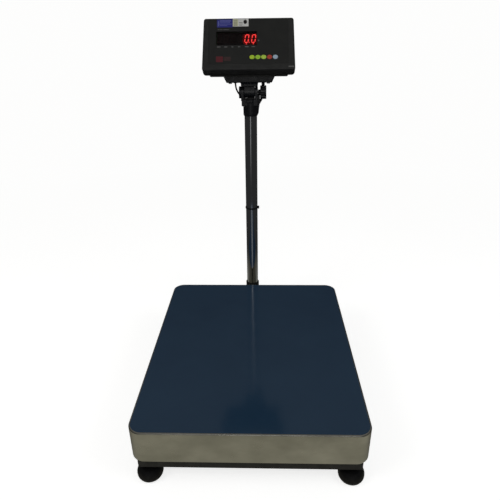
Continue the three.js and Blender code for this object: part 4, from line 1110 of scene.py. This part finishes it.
def make_decals():
    """Plain printing and stickers in generic shapes, with no words or marks."""
    white = print_ink("white_ink", (0.17, 0.17, 0.165))
    label("blue_label", 41, 21.5, -61.5, 117.7, print_ink("blue_sticker", (0.035, 0.037, 0.30), 0.35))
    stripes = [(30, 3.0, -60, 124.3), (27, 1.6, -61.5, 119.6), (33, 1.6, -60, 115.8), (20, 1.4, -65, 112.2),
               (3.4, 14, -78.3, 117)]
    bars("blue_label_bars", 0.4, stripes, print_ink("pale_blue_ink", (0.16, 0.175, 0.52), 0.35), 0.05, 0.16)
    paper = print_ink("white_sticker", (0.90, 0.90, 0.87), 0.45)
    label("white_label", 41, 21, -20.5, 119.5, paper, 0.8, -0.05, 0.14)
    panel = print_ink("pale_green_ink", (0.74, 0.74, 0.50), 0.45)
    label("pale_green_panel", 13, 19.4, -33.8, 119.5, panel, 0.6, 0, 0.17)
    rules = [(9, 1.1, -34, 124.5), (9, 1.1, -34, 120.5), (8, 1.1, -34.4, 116.5), (9, 1.1, -34, 112.8),
             (10, 1.3, -20.5, 119.4), (10, 1.0, -20.5, 115.6), (9, 1.0, -21, 112.2)]
    bars("white_label_rules", 0.3, rules, print_ink("mid_grey_ink", (0.20, 0.20, 0.17), 0.45), 0.1, 0.2)
    label("black_spot", 9, 11, -8.6, 121.3, bpy.data.materials["display_mask"], 4.4, 0.1, 0.2)
    bars("title_bars", 0.3, [(w, 1.5, x, 101) for w, x in ((4, -78), (7, -71), (15, -58))], white)
    lamps = ((-77, 9), (-58.8, 8), (-41.7, 5), (-24.4, 6), (-4.8, 10), (12.4, 9))
    prints = [tile("bar", w, 2.2, x, 54.4, 0.4, -0.05, 0.08) for x, w in lamps]
    prints.append(tile("bar", 3, 4, 26, 71, 0.6, -0.05, 0.08))
    on_face(merge("lamp_labels", prints), white)
    red = print_ink("dark_red_ink", (0.14, 0.014, 0.022))
    faint = print_ink("faint_red_ink", (0.06, 0.028, 0.028))
    label("red_block", 18, 15, -75, 21.5, red, 1.2, -0.05, 0.08)
    label("faint_block", 18, 11, -55, 22.5, faint, 1.0, -0.05, 0.08)
    label("grey_tag", 14, 3.2, 110, 0.8, white)


# ---- cables ----
SHIFT = -56 * MM      # the millimetre routes below are measured from the pan's middle
SIGNAL_ROUTE = [
    (-7, 75.3, 92), (-7, 88, 91), (-7, 103, 83), (-7, 115, 70), (-7, 130, 58), (-7, 150, 54), (-7, 200, 54),
    (-7, 260, 54), (-7, 335, 53), (-7, 354, 53.6), (-7, 365.5, 60), (-7, 371.5, 74), (-7, 373, 98),
    (-7, 373, 250), (-7, 373, 450), (-7, 373, 640), (-7, 373, 674), (-7, 376, 688), (-7, 385, 695.4),
    (-7, 396, 696.2), (-12, 405, 697.5), (-24, 408, 702), (-35, 406, 709.5), (-43, 404, 719),
    (-48, 403, 730), (-50, 403, 743.7)]
LEAD_ROUTE = [
    (28, 403, 727.7), (27.4, 404, 715), (23, 405, 701), (15, 406, 687), (7, 406, 672), (0.5, 404.5, 654),
    (-4, 401.5, 632), (-6.6, 397.8, 604), (-7, 395, 572), (-7, 394.6, 530), (-7, 394.6, 480),
    (-7, 394.6, 430), (-7, 394.6, 385), (-7, 394.6, 330), (-7, 394.8, 270), (-7, 396, 215),
    (-7, 398.5, 165), (-7, 400, 120), (-6, 401, 80), (-3, 402, 50), (4, 402.5, 27), (15, 401.5, 11.5),
    (28, 398.5, 4.8), (39, 395.6, 3.5), (49.4, 394.8, 3.4)]
LEAD_RADIUS, COIL_TURNS, COIL_OUTER, COIL_INNER = 3.25 * MM, 2, 42.8 * MM, 29.2 * MM
FLOOR_LAYER, TOP_LAYER = 3.4 * MM, 10.2 * MM      # the heights of the coil's two layers


def metres(route):
    return [Vector((x * MM, y * MM + SHIFT, z * MM)) for x, y, z in route]


def smoothstep(t):
    t = min(max(t, 0), 1)
    return t * t * (3 - 2 * t)


def coil_line(centre):
    """Two flat layers, clockwise from above: in along the floor, up, and out again on top."""
    points, steps, climb = [], 180, 0.14
    for layer in (0, 1):
        for k in range(layer, steps + 1):
            t = k / steps
            radius = COIL_OUTER + (COIL_INNER - COIL_OUTER) * (1 - t if layer else t)
            rise = 0.5 + smoothstep(t / climb) * 0.5 if layer else smoothstep((t - (1 - climb)) / climb) * 0.5
            a = math.pi / 2 - 2 * math.pi * COIL_TURNS * t
            height = FLOOR_LAYER + (TOP_LAYER - FLOOR_LAYER) * rise
            points.append(centre + Vector((radius * math.cos(a), radius * math.sin(a), height)))
    return points


def make_cables():
    jacket = cable_jacket("soft_black_pvc", (0.010, 0.010, 0.011))
    signal = tube("load_cell_cable", spline(metres(SIGNAL_ROUTE), 10), 2.25 * MM, 14)
    dress(signal, jacket, replaces=["signal_cable"], angle=80)
    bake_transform(signal)
    make_lead(jacket)


def make_lead(jacket):
    """The mains lead: from the strain relief down the column, on to its coil, and into the plug."""
    coil = coil_line(Vector(((COIL_LOW.x + COIL_HIGH.x) / 2, (COIL_LOW.y + COIL_HIGH.y) / 2, 0)))
    last = Vector((102.5 * MM + 4 * MM, coil[-1].y, TOP_LAYER))
    line = spline(metres(LEAD_ROUTE) + [coil[0] - Vector((12 * MM, 0, 0))], 10)[:-1]
    line += spline([line[-1], coil[0]], 6)[1:-1] + coil
    line += [coil[-1].lerp(last, k / 6) for k in range(1, 7)]
    lead = tube("power_cord", line, LEAD_RADIUS, 16)
    dress(lead, jacket, replaces=["mains_lead", "mains_lead_coil"], angle=80)
    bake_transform(lead)
    plug = make_plug(last.y, TOP_LAYER)


def make_plug(y, z):
    """A two-pin plug: ribbed boot, waisted body with grip ridges, and two rounded pins."""
    rows = [(102.5, 8.8, 8.8, 4.3)]
    for k in range(5):
        x, size = 103.2 + k * 3.2, 9.0 + k * 0.75
        rows += [(x, size, size, size / 2.1), (x + 2.0, size + 0.3, size + 0.3, size / 2.1),
                 (x + 2.3, size - 1.4, size - 1.4, size / 2.3), (x + 2.9, size - 1.4, size - 1.4, size / 2.3)]
    rows += [(119.5, 13, 12.5, 5), (120.5, 17, 15, 5.5), (122.5, 21.5, 17.5, 6), (126, 23.5, 18.5, 6)]
    for k in range(4):
        x, wide = 128 + k * 2.6, k * 0.3
        rows += [(x, 23.6 + wide, 18.6, 6), (x + 0.3, 22.6 + wide, 17.6, 6), (x + 1.1, 22.6 + wide, 17.6, 6),
                 (x + 1.4, 23.6 + wide, 18.6, 6)]
    rows += [(141, 25.4, 18.9, 6), (148, 26, 19, 6), (149.4, 25.2, 18.2, 5.6), (150, 23.4, 16.4, 5)]
    rings = [[Vector((x * MM, y + p.x, z + p.y)) for p in fillet(rectangle(w * MM, h * MM), r * MM)]
             for x, w, h, r in rows]
    body = loft("mains_connector", rings)
    moulding = cable_jacket("plug_moulding", (0.014, 0.014, 0.015))
    dress(body, moulding, "base", ["mains_plug"], 40)
    pins = [soft_bar("pin", 2 * MM, 148 * MM, 169 * MM, (0, y + side * 9.5 * MM, z), "x", 1.2 * MM, 32)
            for side in (-1, 1)]
    pins = merge("mains_pins", pins)
    dress(pins, metal("nickel_pin", (0.62, 0.60, 0.56), 0.2), "base")
    pins.parent = body
    pins.matrix_parent_inverse = Matrix.Identity(4)
    return body


def make_glands():
    """The cable gland on the left and the strain relief on the right, both under the indicator."""
    low, top = GLAND_LOW.z, GLAND_HIGH.z
    x, y = (GLAND_LOW.x + GLAND_HIGH.x) / 2, (GLAND_LOW.y + GLAND_HIGH.y) / 2
    profile = [(4.2, 0), (5.0, 0.6), (6.6, 4.5), (7.4, 6.6), (7.5, 7.6), (8.9, 8.0), (8.9, 13.6), (8.2, 14.4),
               (8.2, 15.0), (9.0, 15.6), (9.0, 19.6), (8.4, 20.2), (8.4, 24.0)]
    rows = [(r * MM, low + z * MM) for r, z in profile]
    gland = lathe("cable_gland", [(0, low), *rows, (0, top)], (x, y, 0), "z", 48)
    grips = [soft_bar("grip", 0.9 * MM, low + 8.6 * MM, low + 13.2 * MM, (p.x, p.y, 0), "z", 0.2 * MM, 12)
             for p in oval(x, y, 9.2 * MM, 9.2 * MM, 0, 18)]
    carve(gland, *grips)
    dress(gland, hinge_plastic(), "head", ["signal_gland"], 30)
    x, y, low = (RELIEF_LOW.x + RELIEF_HIGH.x) / 2, (RELIEF_LOW.y + RELIEF_HIGH.y) / 2, RELIEF_LOW.z
    rows = [(4.0 * MM, low), (4.25 * MM, low + 0.4 * MM)]
    for k in range(7):
        z, r = low + (1.4 + 3.7 * k) * MM, (4.3 + 0.18 * k) * MM
        rows += [(r, z), (r - 0.7 * MM, z + 0.4 * MM), (r - 0.7 * MM, z + 1.5 * MM),
                 (r + 0.1 * MM, z + 1.9 * MM)]
    rows += [(5.5 * MM, low + 27.4 * MM), (8.1 * MM, low + 28 * MM), (8.5 * MM, low + 28.5 * MM),
             (8.5 * MM, top - 3 * MM), (8.0 * MM, top - 2.6 * MM), (8.0 * MM, top)]
    relief = lathe("cord_strain_relief", [(0, low), *rows, (0, top)], (x, y, 0), "z", 48)
    dress(relief, hinge_plastic(), "head", ["mains_strain_relief"], 30)


def make_tie():
    """The nylon tie round the column and the lead: a band with rounded edges, its lock and a cut tail."""
    z, lean_y, large, small = (TIE_LOW.z + TIE_HIGH.z) / 2, 21.6 * MM, COLUMN_RADIUS, LEAD_RADIUS
    lean, right = math.asin((large - small) / lean_y), COLUMN_X + large

    def band(margin, height):
        points = [(COLUMN_X + (large + margin) * math.cos(a), COLUMN_Y + (large + margin) * math.sin(a))
                  for a in (math.pi - lean + (math.pi + 2 * lean) * k / 60 for k in range(61))]
        points += [(COLUMN_X + (small + margin) * math.cos(a),
                    COLUMN_Y + lean_y + (small + margin) * math.sin(a))
                   for a in (lean + (math.pi - 2 * lean) * k / 20 for k in range(21))]
        return [Vector((x, y, z + height)) for x, y in points]

    inner, outer, half, edge = 0.3 * MM, 1.6 * MM, 2.4 * MM, 0.4 * MM
    rings = [band(inner, -half), band(inner, half), band(outer - edge, half), band(outer, half - edge),
             band(outer, -half + edge), band(outer - edge, -half)]
    lock = block("lock", (right + 0.9 * MM, COLUMN_Y - 3 * MM, z - 4 * MM),
                 (right + 5 * MM, COLUMN_Y + 3 * MM, z + 4 * MM), 0.7 * MM, 3)
    tail = block("tail", (right + 2.2 * MM, COLUMN_Y - 5.5 * MM, z - 2.2 * MM),
                 (right + 3.4 * MM, COLUMN_Y - 2 * MM, z + 2.2 * MM), 0.3 * MM)
    piece = merge("nylon_cable_tie", [loft("nylon_tie", rings, True), lock, tail])
    nylon = moulded_plastic("black_nylon", (0.015, 0.015, 0.016), 0.38)
    dress(piece, nylon, "base", ["cable_tie"], 40)


def finish_electronics():
    recoat("main_board", circuit_board())
    recoat("battery", moulded_plastic("grey_battery_shell", (0.05, 0.052, 0.055), 0.5), 1.0 * MM)
    for n in (1, 2):
        recoat(f"plate_screw_{n}", bpy.data.materials["zinc_plate"], 0.4 * MM)


# ---- the scene ----
bpy.context.scene.view_settings.view_transform = "Standard"
make_world()
make_stage()
make_camera()
make_lights()

make_pan()
make_film()
finish_base()
make_column()
make_bracket()
make_collar()
make_hinge_bolt()
make_knob()
make_tilt_bracket()
HOUSING = moulded_plastic("indicator_plastic", (0.020, 0.0203, 0.019), 0.42)
make_front_housing(HOUSING)
make_rear_housing(HOUSING)
make_overlay()
make_display()
make_keys()
make_decals()
finish_electronics()
make_glands()
make_cables()
make_tie()
